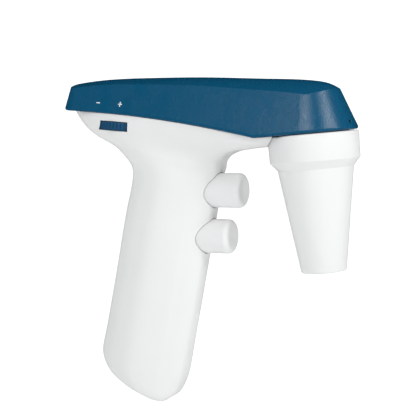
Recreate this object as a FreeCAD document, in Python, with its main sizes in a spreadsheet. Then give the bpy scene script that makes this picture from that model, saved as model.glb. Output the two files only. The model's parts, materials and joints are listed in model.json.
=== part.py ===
import FreeCAD, Part
import math
import os
import re

import Sketcher
from FreeCAD import Placement, Rotation, Vector

# Motorized pipette controller. Millimetres. The origin is the centre of the nose cone's mouth,
# where a pipette goes in; +Z runs up the nose axis, +X points away from the handle, +Y is left.

DOC = FreeCAD.newDocument("pipette_controller")
SHEET = DOC.addObject("Spreadsheet::Sheet", "sizes")

SIZES = {
    # gaps and margins used all over
    "fit_gap": 0.15, "seat_gap": 0.2, "overcut": 1.0, "root": 0.5,
    # nose cone, up the nose axis
    "mouth_radius": 10.66, "cone_top_radius": 17.77, "cone_height": 48.4, "nose_wall": 1.8,
    "ring_bottom_radius": 21.05, "ring_bottom": 52.2, "ring_top_radius": 21.28, "ring_top": 64.5,
    "ring_bore_radius": 19.3, "ring_floor": 2.6, "cone_shoulder": 0.8,
    "mouth_round": 1.0, "ring_round": 0.7,
    # top cover
    "cover_bottom": 64.9, "cover_front_radius": 21.5, "cover_rear": -134.9,
    "cover_rear_corner": 16.5, "cover_spread": 2.0, "cover_draft": 21.0, "cover_wall": 2.2,
    "cover_taper_height": 36.0, "cover_rim_round": 1.1,
    "dome_curve_rear": 0.013, "dome_curve_front": 0.030,
    "vent_radius": 0.9, "vent_height": 68.6, "vent_turn": -12.0,
    # where cover and handle meet, in the side view
    "parting_front": -21.8, "parting_middle": -75.0, "parting_middle_height": 78.4,
    "parting_rear": -137.0, "parting_rear_height": 88.1, "parting_gap": 0.15,
    # light window and lamp
    "lens_start": -25.5, "lens_end": -14.0, "lens_width": 3.4, "lens_base": 89.6, "lens_gap": 0.05,
    "lamp_radius": 1.5, "lamp_board_height": 85.4, "lamp_board_length": 12.0,
    "lamp_board_width": 8.6, "lamp_board_thickness": 1.0, "lamp_post_side": 3.4,
    # handle
    "handle_rake": 16.2, "front_square": 3.8, "ridge_softness": 0.25, "handle_wall": 2.2,
    "shell_seam": 0.06, "ring_clearance": 0.45,
    # buttons
    "button_tilt": 4.2, "button_x": -51.0, "button_z": 41.05, "button_pitch": 22.5,
    "button_setback": 4.4, "button_radius": 8.4, "aspirate_reach": 14.0, "dispense_reach": 12.1,
    "button_flange": 1.0, "button_flange_radius": 9.6, "button_wall": 1.7, "button_face": 2.9,
    "button_round": 2.1, "button_dish": 1.1, "button_land": 0.252, "button_gap": 0.35,
    "button_guide_gap": 0.06,
    "carrier_depth": 9.0, "carrier_half_width": 11.4,
    # valve block
    "block_start": 17.0, "block_depth": 12.0, "block_half_width": 6.8,
    "block_over": 8.5, "block_under": 7.0, "port_front": 20.5, "port_rear": 26.0, "port_side": 4.4,
    "nipple_radius": 1.15, "nipple_bore_radius": 0.6, "nipple_length": 4.5, "drilling_depth": 3.0,
    # valve stems, their seals and springs
    "stem_radius": 2.5, "stem_gap": 0.05, "stem_end": 30.5, "stem_head_gap": 0.1,
    "stem_neck_radius": 2.0, "stem_neck_end": 9.0, "stem_tip_radius": 1.2, "stem_tip_length": 2.0,
    "stem_groove_start": 3.0, "stem_groove_width": 1.6, "stem_groove_depth": 0.8,
    "stem_seal_radius": 0.4, "spring_radius": 4.6, "spring_wire": 0.45,
    # push switches beside the valve block
    "switch_length": 11.4, "switch_width": 5.8, "switch_height": 6.4, "switch_setback": 0.6,
    "lever_length": 6.2, "lever_thickness": 0.3, "lever_width": 4.0, "lever_lean": 25.0,
    "lever_side": 4.0, "lever_gap": 0.4,
    # speed wheel and dial
    "wheel_x": -95.2, "wheel_z": 76.3, "wheel_tilt": 8.6, "wheel_radius": 18.0,
    "wheel_height": 3.9, "wheel_ribs": 58.0, "wheel_rib_depth": 0.4, "wheel_slot_gap": 0.35,
    "wheel_slot_length": 14.2, "wheel_bore_radius": 3.0, "wheel_shaft_end": 5.4,
    "dial_width": 11.0, "dial_gap": 0.5,
    # circuit board
    "board_length": 38.0, "board_width": 21.0, "board_thickness": 1.6, "board_height": 6.8,
    "board_screw_pitch": 32.0, "board_screw_length": 5.5, "chip_place": 8.0, "chip_width": 7.0,
    "chip_height": 1.2, "plug_place": -8.0, "plug_side": 5.0, "plug_length": 5.0,
    "plug_width": 8.0, "plug_height": 4.0,
    # motor, crank and bearing
    "motor_radius": 10.0, "motor_rear": -73.0, "motor_front": -46.4, "motor_height": 78.0,
    "motor_boss_inset": 4.0, "motor_boss_length": 1.4, "shaft_radius": 1.0, "shaft_length": 6.5,
    "hub_radius": 2.8, "hub_start": 2.5, "hub_length": 4.5, "crank_throw": 1.2,
    "crank_pin_radius": 1.5, "crank_pin_length": 5.0, "bearing_radius": 3.0, "bearing_start": 7.7,
    "bearing_width": 3.0,
    # pump
    "pump_length": 18.4, "pump_width": 19.0, "pump_top": 87.6, "pump_floor": 70.8,
    "pump_end_wall": 2.0, "crank_room_radius": 6.4, "pump_well_radius": 5.6, "valve_plate": 2.0,
    "plate_hole_radius": 1.0, "diaphragm_thickness": 1.2, "diaphragm_edge": 0.6,
    "diaphragm_stem_radius": 1.5, "diaphragm_stem_gap": 0.1, "pump_cap_bottom": 63.4,
    "pump_port_side": 4.5, "pump_port_height": 65.2, "pump_drilling": 4.0,
    # battery
    "cell_radius": 9.15, "cell_length": 65.0, "cell_bottom": -77.1, "cell_centre": -82.8,
    "pad_radius": 6.0, "pad_thickness": 1.0,
    # charging port
    "port_level": -66.0, "port_width": 9.4, "port_height": 3.6, "port_length": 8.0,
    "port_wall": 0.45, "port_setback": 0.4, "port_back": 1.2, "port_tongue_start": 0.8,
    "port_tongue_width": 6.6, "port_tongue_thickness": 0.7, "port_board_place": 9.0,
    "port_board_length": 8.4, "port_board_width": 13.0, "port_board_thickness": 1.2,
    # pipette adapter and check valve
    "pipette_bore_radius": 4.0, "pipette_bore_length": 14.0, "adapter_top": 26.0,
    "adapter_gap": 0.35, "throat_radius": 2.0, "valve_bottom": 20.2, "valve_radius": 5.9,
    "valve_gap": 0.1, "valve_inlet_radius": 1.5, "valve_outlet_radius": 1.3, "valve_floor": 1.8,
    "valve_room_height": 2.0, "flap_radius": 2.9, "flap_thickness": 0.6, "flap_gap": 0.3,
    "valve_rim_gap": 3.0,
    # filter
    "filter_radius": 12.6, "filter_bottom": 36.0, "filter_height": 7.0, "filter_wall": 2.0,
    "filter_face": 1.4, "filter_bore_radius": 1.2, "filter_barb": 9.5, "filter_barb_radius": 3.4,
    "barb_taper": 0.2, "barb_gap": 0.1, "filter_socket": 7.0, "filter_socket_radius": 5.2,
    "filter_socket_bore": 4.0, "filter_socket_floor": 0.4, "membrane_thickness": 0.4,
    # nose socket
    "socket_flange": 69.0, "socket_flange_radius": 16.0, "socket_floor": 0.9,
    "socket_hub_radius": 2.6, "socket_hub_height": 1.4, "spigot_taper": 0.8,
    "spigot_tip": 1.0, "spigot_taper_length": 4.0, "collar_radius": 18.9, "collar_wall": 2.0,
    "collar_bottom": 56.5, "groove_bottom": 58.6, "groove_height": 2.0, "groove_depth": 1.2,
    "ring_seal_radius": 0.75, "ring_seal_inset": 0.4,
    # tubes
    "tube_radius": 2.25, "tube_bore_radius": 1.2,
    # fasteners
    "boss_radius": 2.9, "pilot_radius": 1.3, "screw_radius": 1.25, "screw_length": 14.0,
    "screw_seat": 6.0, "nose_screw_circle": 13.0, "nose_screw_length": 9.0,
    "screw_head_radius": 2.3, "screw_head_height": 1.6, "screw_recess_radius": 0.92,
    "screw_recess_depth": 0.9, "nose_pilot_depth": 7.0, "board_pilot_depth": 5.0,
}

# Oval sections of the handle, square to its raked axis, from the foot up: distance along the
# axis, rear edge, front edge, half width, sideways flare per mm towards the front, squareness of
# the rear half, and how far the front half's sides draw in.
HANDLE_SECTIONS = {
    "foot": (-86.2, -73.9, -69.4, 3.5, 0.0, 2.2, 0.1),
    "sole": (-85.5, -75.0, -67.8, 7.6, 0.0, 2.2, 0.15),
    "toe": (-84.1, -81.2, -66.1, 10.6, 0.0, 2.3, 0.25),
    "instep": (-81.6, -90.8, -63.7, 13.2, 0.0, 2.4, 0.36),
    "heel_low": (-77.6, -99.0, -61.9, 15.2, 0.0, 2.6, 0.48),
    "heel": (-70.0, -105.4, -60.2, 16.5, 0.0, 2.7, 0.56),
    "heel_top": (-60.0, -105.9, -59.9, 16.8, 0.0, 2.8, 0.6),
    "grip_low": (-43.0, -105.4, -59.9, 16.7, 0.0, 2.8, 0.6),
    "grip": (-20.0, -105.1, -59.9, 16.6, 0.0, 2.8, 0.6),
    "grip_high": (10.0, -104.7, -59.9, 16.5, 0.0, 2.8, 0.6),
    "neck": (22.0, -104.3, -60.0, 16.5, 0.0, 2.8, 0.58),
    "nape": (28.5, -106.0, -60.1, 16.6, 0.004, 2.9, 0.52),
    "shoulder": (33.6, -112.4, -60.2, 16.8, 0.01, 3.0, 0.45),
    "ledge": (36.2, -117.2, -60.0, 17.0, 0.016, 3.1, 0.4),
    "knee": (38.8, -127.2, -60.2, 17.1, 0.02, 3.2, 0.34),
    "brow": (42.5, -135.2, -58.4, 17.3, 0.025, 3.4, 0.25),
    "flare": (45.6, -139.0, -54.0, 17.5, 0.03, 3.6, 0.14),
    "tongue": (48.4, -141.6, -46.9, 17.7, 0.035, 3.8, 0.06),
    "rim": (52.0, -145.2, -35.8, 17.9, 0.04, 4.0, 0.0),
    "crown": (60.0, -152.0, -20.0, 18.6, 0.045, 4.2, 0.0),
}
SECTION_FIELDS = ("level", "rear", "front", "half", "spread", "square", "taper")
SECTION_POINTS = 14

# The cover's ridge in the side view, from the rear end to the front.
RIDGE = [(-146.0, 96.0), (-127.4, 99.3), (-110.0, 100.1), (-80.0, 98.4), (-50.0, 95.6),
         (-20.0, 91.9), (3.0, 88.7), (9.6, 86.8), (14.4, 83.8), (24.0, 73.0)]

for number, (alias, value) in enumerate(SIZES.items(), start=1):
    SHEET.set("A%d" % number, alias)
    SHEET.set("B%d" % number, str(value))
    SHEET.setAlias("B%d" % number, alias)
row_number = len(SIZES)
for section, values in HANDLE_SECTIONS.items():
    for field, value in zip(SECTION_FIELDS, values):
        row_number += 1
        SHEET.set("A%d" % row_number, "%s_%s" % (section, field))
        SHEET.set("B%d" % row_number, str(value))
        SHEET.setAlias("B%d" % row_number, "%s_%s" % (section, field))
DOC.recompute()

FUNCTIONS = {"sin", "cos", "tan", "sqrt", "min", "max"}
PARTS = {}
THROUGH = 40.0      # a tool this long passes right through what it cuts
BEYOND = 100.0      # far outside the object


def bound(text):
    """Rewrite a formula of plain size names into one that names the sheet."""
    return re.sub(r"[a-z_][a-z_0-9]*",
                  lambda word: word.group() if word.group() in FUNCTIONS else "sizes." + word.group(),
                  str(text))


def size(text):
    """Value of a formula of size names."""
    return float(SHEET.evalExpression(bound(text)))


# ---------------------------------------------------------------- frames

HANDLE = Placement(Vector(), Rotation(Vector(0, 1, 0), size("handle_rake")))
BUTTON = Placement(Vector(size("button_x"), 0, size("button_z")),
                   Rotation(Vector(0, 1, 0), size("button_tilt")))
WHEEL = Placement(Vector(size("wheel_x"), 0, size("wheel_z")),
                  Rotation(Vector(0, 1, 0), size("wheel_tilt")))
ALONG_X = Rotation(Vector(0, 1, 0), 90)
ALONG_Y = Rotation(Vector(1, 0, 0), -90)


def in_frame(frame, x, y, z, turn=Rotation()):
    """Placement at a point of a frame, with an extra turn of the object itself."""
    return frame.multiply(Placement(Vector(x, y, z), turn))


WORLD = Placement()


# ---------------------------------------------------------------- building blocks

def add(kind, name, **formulas):
    """A document object whose properties are bound to the sheet."""
    made = DOC.addObject(kind, name)
    for prop, text in formulas.items():
        made.setExpression(prop, bound(text))
    return made


def box(name, frame, x, y, z, length, width, height):
    """A box centred on x, y and z of a frame; its sizes and place are formulas."""
    made = add("Part::Box", name, Length=length, Width=width, Height=height)
    corner = [size("%s - (%s)/2" % (c, e)) for c, e in ((x, length), (y, width), (z, height))]
    made.Placement = in_frame(frame, *corner)
    return made


def rod(name, frame, x, y, z, radius, height, turn=Rotation()):
    """A cylinder that starts at a point of a frame and runs along the turned Z axis."""
    made = add("Part::Cylinder", name, Radius=radius, Height=height)
    made.Placement = in_frame(frame, size(x), size(y), size(z), turn)
    return made


def cut(name, base, *tools):
    """Base less all the tools."""
    made = DOC.addObject("Part::Cut", name)
    made.Base = base
    made.Tool = tools[0] if len(tools) == 1 else fuse(name + "_tools", *tools)
    return made


def fuse(name, *shapes):
    made = DOC.addObject("Part::MultiFuse", name)
    made.Shapes = list(shapes)
    return made


def common(name, first, second):
    made = DOC.addObject("Part::Common", name)
    made.Base, made.Tool = first, second
    return made


def feature(name, shape, frame=WORLD):
    """A shape made with Part's own functions, for what primitives and sketches can't make."""
    made = DOC.addObject("Part::Feature", name)
    made.Shape = shape
    made.Placement = frame
    return made


def node(name, made):
    """Name a finished piece; the name is also its file's name."""
    made.Label = name
    PARTS[name] = made
    return made


def turned(name, frame, profile, rounds=()):
    """A revolved PartDesign body. profile: (radius, height) formulas in order around the section.
    rounds: (radius, height, fillet) formulas that name circular edges to round."""
    body = DOC.addObject("PartDesign::Body", name)
    sketch = body.newObject("Sketcher::SketchObject", name + "_profile")
    plane = [item for item in body.Origin.OriginFeatures if item.Role == "XZ_Plane"][0]
    sketch.AttachmentSupport = (plane, [""])
    sketch.MapMode = "FlatFace"
    corners = [(size(r), size(z)) for r, z in profile]
    count = len(corners)
    for index, (r, z) in enumerate(corners):
        following = corners[(index + 1) % count]
        sketch.addGeometry(Part.LineSegment(Vector(r, z, 0), Vector(following[0], following[1], 0)))
    for index in range(count):
        sketch.addConstraint(Sketcher.Constraint("Coincident", index, 2, (index + 1) % count, 1))
    for index, (r, z) in enumerate(profile):
        ways = (("DistanceX", r, corners[index][0]), ("DistanceY", z, corners[index][1]))
        for way, text, value in ways:
            rule = sketch.addConstraint(Sketcher.Constraint(way, -1, 1, index, 1, value))
            sketch.setExpression("Constraints[%d]" % rule, bound(text))
    spun = body.newObject("PartDesign::Revolution", name + "_turn")
    spun.Profile = sketch
    spun.ReferenceAxis = (sketch, ["V_Axis"])
    spun.Angle = 360
    DOC.recompute()
    for number, (r, z, fillet) in enumerate(rounds):
        sharp = body.Tip
        edges = ring_edges(sharp.Shape, size(r), size(z))
        soft = body.newObject("PartDesign::Fillet", "%s_round%d" % (name, number))
        soft.Base = (sharp, edges)
        soft.setExpression("Radius", bound(fillet))
        body.Tip = soft
        DOC.recompute()
    body.Placement = frame
    return body


def ring_edges(shape, radius, height, near=0.02):
    """Names of the circular edges about Z with one radius at one height."""
    names = []
    for number, edge in enumerate(shape.Edges, start=1):
        curve = edge.Curve
        if isinstance(curve, Part.Circle) and abs(curve.Radius - radius) < near:
            if abs(curve.Center.z - height) < near:
                names.append("Edge%d" % number)
    return names


def route(name, points, radius, bore, bend_share=0.45):
    """A tube along straight runs joined by tangent arcs. bore 0 makes it solid, like a cable."""
    points = [Vector(*point) for point in points]
    edges, start = [], points[0]
    for before, corner, after in zip(points, points[1:], points[2:]):
        back, ahead = (before - corner), (after - corner)
        shorter = min(back.Length, ahead.Length)
        back.normalize()
        ahead.normalize()
        half_turn = (math.pi - back.getAngle(ahead)) / 2
        reach = bend_share * shorter
        bend = reach / math.tan(half_turn)
        enter, leave = corner + back * reach, corner + ahead * reach
        inward = (back + ahead)
        inward.normalize()
        middle = corner + inward * (bend / math.cos(half_turn) - bend)
        edges += [Part.makeLine(start, enter), Part.Arc(enter, middle, leave).toShape()]
        start = leave
    edges.append(Part.makeLine(start, points[-1]))
    path = Part.Wire(edges)
    direction = points[1] - points[0]

    def swept(section_radius):
        circle = Part.Wire([Part.makeCircle(section_radius, points[0], direction)])
        return path.makePipeShell([circle], True, False)

    shape = swept(radius)
    if bore:
        shape = shape.cut(swept(bore))
    return feature(name, shape)


# ---------------------------------------------------------------- cover and handle volumes

def oval_half(level, rear, front, half, spread, square, taper):
    """Right half of one oval section in the handle's frame, from the front round to the rear;
    it leaves the mid-plane square to it."""
    centre, reach = (rear + front) / 2, (front - rear) / 2
    points = []
    for step in range(SECTION_POINTS + 1):
        angle = math.pi * step / SECTION_POINTS
        ahead = step < SECTION_POINTS / 2
        power = 2 / (size("front_square") if ahead else square)
        along = math.copysign(abs(math.cos(angle)) ** power, math.cos(angle)) * reach
        across = (half + spread * along) * abs(math.sin(angle)) ** power
        if ahead:
            share = along / reach
            across *= 1 - taper * share * share / (share + size("ridge_softness"))
        points.append(Vector(centre + along, -across, level))
    points[0].y = points[-1].y = 0.0
    pulls = [points[1].distanceToPoint(points[0]), points[-2].distanceToPoint(points[-1])]
    curve = Part.BSplineCurve()
    curve.interpolate(points, Parameters=[step / SECTION_POINTS for step in range(SECTION_POINTS + 1)],
                      InitialTangent=Vector(0, -pulls[0] * SECTION_POINTS, 0),
                      FinalTangent=Vector(0, pulls[1] * SECTION_POINTS, 0), Scale=False)
    return curve


def skinned(curves):
    """A smooth face through curves that share their knots."""
    rows = [curve.getPoles() for curve in curves]
    travel = [0.0]
    for lower, upper in zip(rows, rows[1:]):
        travel.append(travel[-1] + sum(a.distanceToPoint(b) for a, b in zip(lower, upper)) / len(lower))
    places = [distance / travel[-1] for distance in travel]
    columns = []
    for column in zip(*rows):
        rail = Part.BSplineCurve()
        rail.interpolate(list(column), Parameters=places)
        columns.append(rail)
    first, around = columns[0], curves[0]
    poles = [list(level) for level in zip(*[rail.getPoles() for rail in columns])]
    surface = Part.BSplineSurface()
    surface.buildFromPolesMultsKnots(poles, first.getMultiplicities(), around.getMultiplicities(),
                                     first.getKnots(), around.getKnots(), False, False,
                                     first.Degree, around.Degree)
    return surface.toShape()


def handle_volume(inset):
    """The handle's volume, drawn in by the inset on every side."""
    curves = []
    for section in HANDLE_SECTIONS:
        level, rear, front, half, spread, square, taper = [size("%s_%s" % (section, field))
                                                           for field in SECTION_FIELDS]
        narrow = min(inset, half * 0.6, (front - rear) * 0.35)
        curves.append(oval_half(level + inset, rear + narrow, front - narrow, half - narrow,
                                spread, square, taper))
    right = skinned(curves)
    left = right.mirror(Vector(), Vector(0, 1, 0))
    caps = []
    for curve in (curves[0], curves[-1]):
        half = curve.toShape()
        caps.append(Part.Face(Part.Wire([half, half.mirror(Vector(), Vector(0, 1, 0))])))
    skin = Part.makeShell([right, left] + caps)
    skin.sewShape()
    solid = Part.Solid(skin)
    if solid.Volume < 0:
        solid.reverse()
    solid.Placement = HANDLE
    return solid


def above_parting(lift):
    """Everything above the line where cover and handle meet, raised by the lift."""
    front = Vector(size("parting_front"), -BEYOND, size("cover_bottom") + lift)
    middle = Vector(size("parting_middle"), -BEYOND, size("parting_middle_height") + lift)
    rear = Vector(size("parting_rear"), -BEYOND, size("parting_rear_height") + lift)
    high = rear.z + BEYOND
    corners = [rear, rear + Vector(-BEYOND, 0, BEYOND / 10), Vector(rear.x - BEYOND, -BEYOND, high),
               Vector(BEYOND, -BEYOND, high), Vector(BEYOND, -BEYOND, front.z), front]
    edges = [Part.Arc(front, middle, rear).toShape()]
    edges += [Part.makeLine(a, b) for a, b in zip(corners, corners[1:])]
    return Part.Face(Part.Wire(edges)).extrude(Vector(0, 2 * BEYOND, 0))


def cover_outline(level, inset):
    """The cover's D-shaped outline at a level: its walls lean in by the draft."""
    rise = level - size("cover_bottom")
    drawn_in = rise * math.tan(math.radians(size("cover_draft"))) + inset
    nose = size("cover_front_radius") - drawn_in
    corner = max(size("cover_rear_corner") - drawn_in, 0.4)
    rear = size("cover_rear") + drawn_in
    lean = math.radians(size("cover_spread"))
    tangent = Vector(nose * math.sin(lean), nose * math.cos(lean), level)
    centre = Vector(rear + corner, 0, level)
    centre.y = (nose - corner - math.sin(lean) * centre.x) / math.cos(lean)
    side = centre + Vector(math.sin(lean), math.cos(lean), 0) * corner
    half_turn = math.pi / 4 - lean / 2
    middle = centre + Vector(-math.sin(half_turn), math.cos(half_turn), 0) * corner
    back = Vector(rear, centre.y, level)

    def mirrored(point):
        return Vector(point.x, -point.y, point.z)

    edges = [Part.Arc(mirrored(tangent), Vector(nose, 0, level), tangent).toShape(),
             Part.makeLine(tangent, side), Part.Arc(side, middle, back).toShape(),
             Part.makeLine(back, mirrored(back)),
             Part.Arc(mirrored(back), mirrored(middle), mirrored(side)).toShape(),
             Part.makeLine(mirrored(side), mirrored(tangent))]
    return Part.Wire(edges)


def below_dome(drop):
    """Everything under the cover's domed top: a parabola across, carried along the ridge."""
    ridge = Part.BSplineCurve()
    ridge.interpolate([Vector(x, 0, z - drop) for x, z in RIDGE])
    half = THROUGH
    rear = RIDGE[0][0]
    poles = []
    for pole in ridge.getPoles():
        share = min(max((pole.x - rear) / (0.0 - rear), 0.0), 1.0)
        curve = size("dome_curve_rear") + share * size("dome_curve_front - dome_curve_rear")
        sag = curve * half * half
        poles.append([Vector(pole.x, -half, pole.z - sag), Vector(pole.x, 0, pole.z + sag),
                      Vector(pole.x, half, pole.z - sag)])
    top = Part.BSplineSurface()
    top.buildFromPolesMultsKnots(poles, ridge.getMultiplicities(), [3, 3], ridge.getKnots(), [0.0, 1.0],
                                 False, False, ridge.Degree, 2)
    return top.toShape().extrude(Vector(0, 0, -BEYOND))


def cover_volume(inset):
    """The cover's volume above its bottom plane, drawn in by the inset."""
    low = size("cover_bottom") - 4.0
    high = size("cover_bottom + cover_taper_height")
    sides = Part.makeLoft([cover_outline(low, inset), cover_outline(high, inset)], True, True)
    return sides.common(below_dome(inset))


wall = size("handle_wall")
HANDLE_OUTER = handle_volume(0.0)
HANDLE_INNER = handle_volume(wall)
COVER_OUTER = cover_volume(0.0)
COVER_INNER = cover_volume(size("cover_wall"))

# ---------------------------------------------------------------- places shared by several pieces

BUTTON_FRAMES = {
    "aspirate": BUTTON,
    "dispense": in_frame(BUTTON, -size("button_setback"), 0, -size("button_pitch")),
}
OUTWARD = Rotation(Vector(0, 1, 0), 90)
SHELL_SCREWS = [(-69.0, -30.0), (-98.3, -50.0), (-98.6, 4.0), (-70.0, 41.0)]
NOSE_SCREW_ANGLES = (0, 120, 240)
LENS_X = size("(lens_start + lens_end)/2")


def axis_rod(frame, x, y, z, radius, length, turn=OUTWARD):
    """A plain cylinder shape along a frame's X axis, or another axis by its turn."""
    shape = Part.makeCylinder(radius, length)
    shape.Placement = in_frame(frame, x, y, z, turn)
    return shape


def placed_box(frame, low, high):
    """A plain box shape between two corners of a frame."""
    shape = Part.makeBox(high[0] - low[0], high[1] - low[1], high[2] - low[2])
    shape.Placement = in_frame(frame, *low)
    return shape


def nose_screw_place(angle):
    turn = math.radians(angle)
    circle = size("nose_screw_circle")
    return circle * math.cos(turn), circle * math.sin(turn)


def lens_slot(grow):
    """A round-ended slot along the ridge, from the lens's underside up through the cover."""
    width = size("lens_width") + 2 * grow
    straight = size("lens_end - lens_start") + 2 * grow - width
    low = size("lens_base")
    middle = Part.makeBox(straight, width, THROUGH, Vector(LENS_X - straight / 2, -width / 2, low))
    ends = [Part.makeCylinder(width / 2, THROUGH, Vector(LENS_X + side * straight / 2, 0, low))
            for side in (-1, 1)]
    return middle.fuse(ends).removeSplitter()


# ---------------------------------------------------------------- top cover and lamp

def soft_rim(shell):
    """Round the cover's lower outer edge, where it overhangs the handle."""
    within = cover_volume(0.05)
    above = above_parting(0.05)
    rim = []
    for edge in shell.Edges:
        middle = edge.valueAt((edge.FirstParameter + edge.LastParameter) / 2)
        if not within.isInside(middle, 0.001, True) and not above.isInside(middle, 0.001, True):
            rim.append(edge)
    return shell.makeFillet(size("cover_rim_round"), rim)


def top_cover():
    """Domed shell with bosses for the nose socket, the circuit board and the lamp board."""
    shell = COVER_OUTER.cut(COVER_INNER)
    half_wall = cover_volume(size("cover_wall") / 2)
    posts = []
    for angle in NOSE_SCREW_ANGLES:
        x, y = nose_screw_place(angle)
        foot = Vector(x, y, size("socket_flange"))
        posts.append(Part.makeCylinder(size("boss_radius"), THROUGH, foot))
    board_top = size("board_height + board_thickness")
    lamp_board_top = size("lamp_board_height + lamp_board_thickness")
    for side in (-1, 1):
        place = in_frame(WHEEL, side * size("board_screw_pitch") / 2, 0, board_top)
        post = Part.makeCylinder(size("boss_radius"), THROUGH)
        post.Placement = place
        posts.append(post)
        foot = Vector(LENS_X, side * size("lamp_post_side"), lamp_board_top)
        posts.append(Part.makeCylinder(size("lamp_radius"), THROUGH, foot))
    for post in posts:
        shell = shell.fuse(post.common(half_wall))
    shell = soft_rim(shell.common(above_parting(0.0)))
    for angle in NOSE_SCREW_ANGLES:
        x, y = nose_screw_place(angle)
        foot = Vector(x, y, size("socket_flange"))
        shell = shell.cut(Part.makeCylinder(size("pilot_radius"), size("nose_pilot_depth"), foot))
    for side in (-1, 1):
        pilot = Part.makeCylinder(size("pilot_radius"), size("board_pilot_depth"))
        pilot.Placement = in_frame(WHEEL, side * size("board_screw_pitch") / 2, 0, board_top)
        shell = shell.cut(pilot)
    turn = Placement(Vector(), Rotation(Vector(0, 0, 1), size("vent_turn")))
    vent = axis_rod(turn, size("cover_front_radius") / 2, 0, size("vent_height"),
                    size("vent_radius"), THROUGH)
    return shell.cut([vent, lens_slot(size("lens_gap"))])


node("top_cover", feature("top_cover", top_cover()))
node("lamp_lens", feature("lamp_lens", lens_slot(0.0).common(below_dome(0.0))))
lens_middle = "(lens_start + lens_end)/2"
lamp_bottom = "lamp_board_height + lamp_board_thickness"
node("status_lamp", rod("status_lamp", WORLD, lens_middle, 0, lamp_bottom, "lamp_radius",
                        "lens_base - seat_gap - (%s)" % lamp_bottom))
node("lamp_board", box("lamp_board", WORLD, lens_middle, 0,
                       "lamp_board_height + lamp_board_thickness/2", "lamp_board_length",
                       "lamp_board_width", "lamp_board_thickness"))

# ---------------------------------------------------------------- handle shells

def handle_shells():
    """The two half shells with their bosses, button holes, wheel windows and charging port."""
    wall = size("handle_wall")
    shell = HANDLE_OUTER.cut(HANDLE_INNER)
    half_wall = handle_volume(wall / 2)
    for along, level in SHELL_SCREWS:
        boss = axis_rod(HANDLE, along, -THROUGH, level, size("boss_radius"), 2 * THROUGH, ALONG_Y)
        shell = shell.fuse(boss.common(half_wall))
    reach = size("ring_top_radius + ring_clearance")
    ring_foot = Vector(0, 0, size("ring_bottom") - THROUGH / 2)
    tools = [above_parting(-size("parting_gap")), Part.makeCylinder(reach, THROUGH, ring_foot)]
    for frame in BUTTON_FRAMES.values():
        hole = size("button_radius + button_gap")
        tools.append(axis_rod(frame, -size("button_radius"), 0, 0, hole, THROUGH))
    gap = size("wheel_slot_gap")
    window = Part.makeCylinder(size("wheel_radius") + gap, size("wheel_height") + 2 * gap)
    window.Placement = in_frame(WHEEL, 0, 0, -size("wheel_height") / 2 - gap)
    slot_half, slot_level = size("wheel_slot_length") / 2, size("wheel_height") / 2 + gap
    slot = placed_box(WHEEL, (-slot_half, -THROUGH, -slot_level), (slot_half, THROUGH, slot_level))
    rear = size("heel_rear")
    tools += [window, slot, port_box(size("fit_gap"), rear - THROUGH, rear + 2 * size("handle_wall"))]
    shell = shell.cut(tools)
    seam = size("shell_seam") / 2
    halves = {}
    for name, side in (("handle_shell_right", -1), ("handle_shell_left", 1)):
        near, far = sorted((side * seam, side * BEYOND))
        block = placed_box(WORLD, (-3 * BEYOND, near, -2 * BEYOND), (BEYOND, far, 2 * BEYOND))
        halves[name] = shell.common(block)
    for along, level in SHELL_SCREWS:
        depth = size("screw_length - screw_seat + overcut")
        pilot = axis_rod(HANDLE, along, -depth, level, size("pilot_radius"), depth, ALONG_Y)
        halves["handle_shell_right"] = halves["handle_shell_right"].cut(pilot)
        shank = axis_rod(HANDLE, along, 0, level, size("pilot_radius"), THROUGH, ALONG_Y)
        seat = axis_rod(HANDLE, along, size("screw_seat"), level,
                        size("screw_head_radius + seat_gap"), THROUGH, ALONG_Y)
        halves["handle_shell_left"] = halves["handle_shell_left"].cut([shank, seat])
    return halves


def port_box(grow, start, end):
    """The charging port's outline, carried along the handle's fore-and-aft axis."""
    half_width, half_height = size("port_width") / 2 + grow, size("port_height") / 2 + grow
    level = size("port_level")
    middle = placed_box(HANDLE, (start, -half_width + half_height, level - half_height),
                        (end, half_width - half_height, level + half_height))
    ends = [axis_rod(HANDLE, start, side * (half_width - half_height), level, half_height, end - start)
            for side in (-1, 1)]
    return middle.fuse(ends).removeSplitter()


for name, shape in handle_shells().items():
    node(name, feature(name, shape))

# ---------------------------------------------------------------- buttons, stems, valve block

def button(name, frame, reach):
    """Hollow button with a dished face, a rounded edge and a flange that keeps it in."""
    inner = "button_radius - button_wall"
    flange = "0 - carrier_depth - button_gap"
    dish_radius = "button_radius - button_round - button_land"
    profile = [(0, reach + " - button_dish"), (dish_radius, reach), ("button_radius", reach),
               ("button_radius", flange), ("button_flange_radius", flange),
               ("button_flange_radius", flange + " - button_flange"),
               (inner, flange + " - button_flange"), (inner, reach + " - button_face"),
               (0, reach + " - button_face")]
    made = turned(name, in_frame(frame, 0, 0, 0, OUTWARD), profile,
                  [("button_radius", reach, "button_round")])
    node(name, made)


def spring(name, frame, start, end):
    """The sleeve of space that a coil fills around the stem, from the valve block to the button."""
    length = "%s - (%s)" % (end, start)
    outer = rod(name + "_outer", frame, start, 0, 0, "spring_radius + spring_wire", length, OUTWARD)
    inner = rod(name + "_inner", frame, start, 0, 0, "spring_radius - spring_wire", length, OUTWARD)
    node(name, cut(name, outer, inner))


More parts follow.
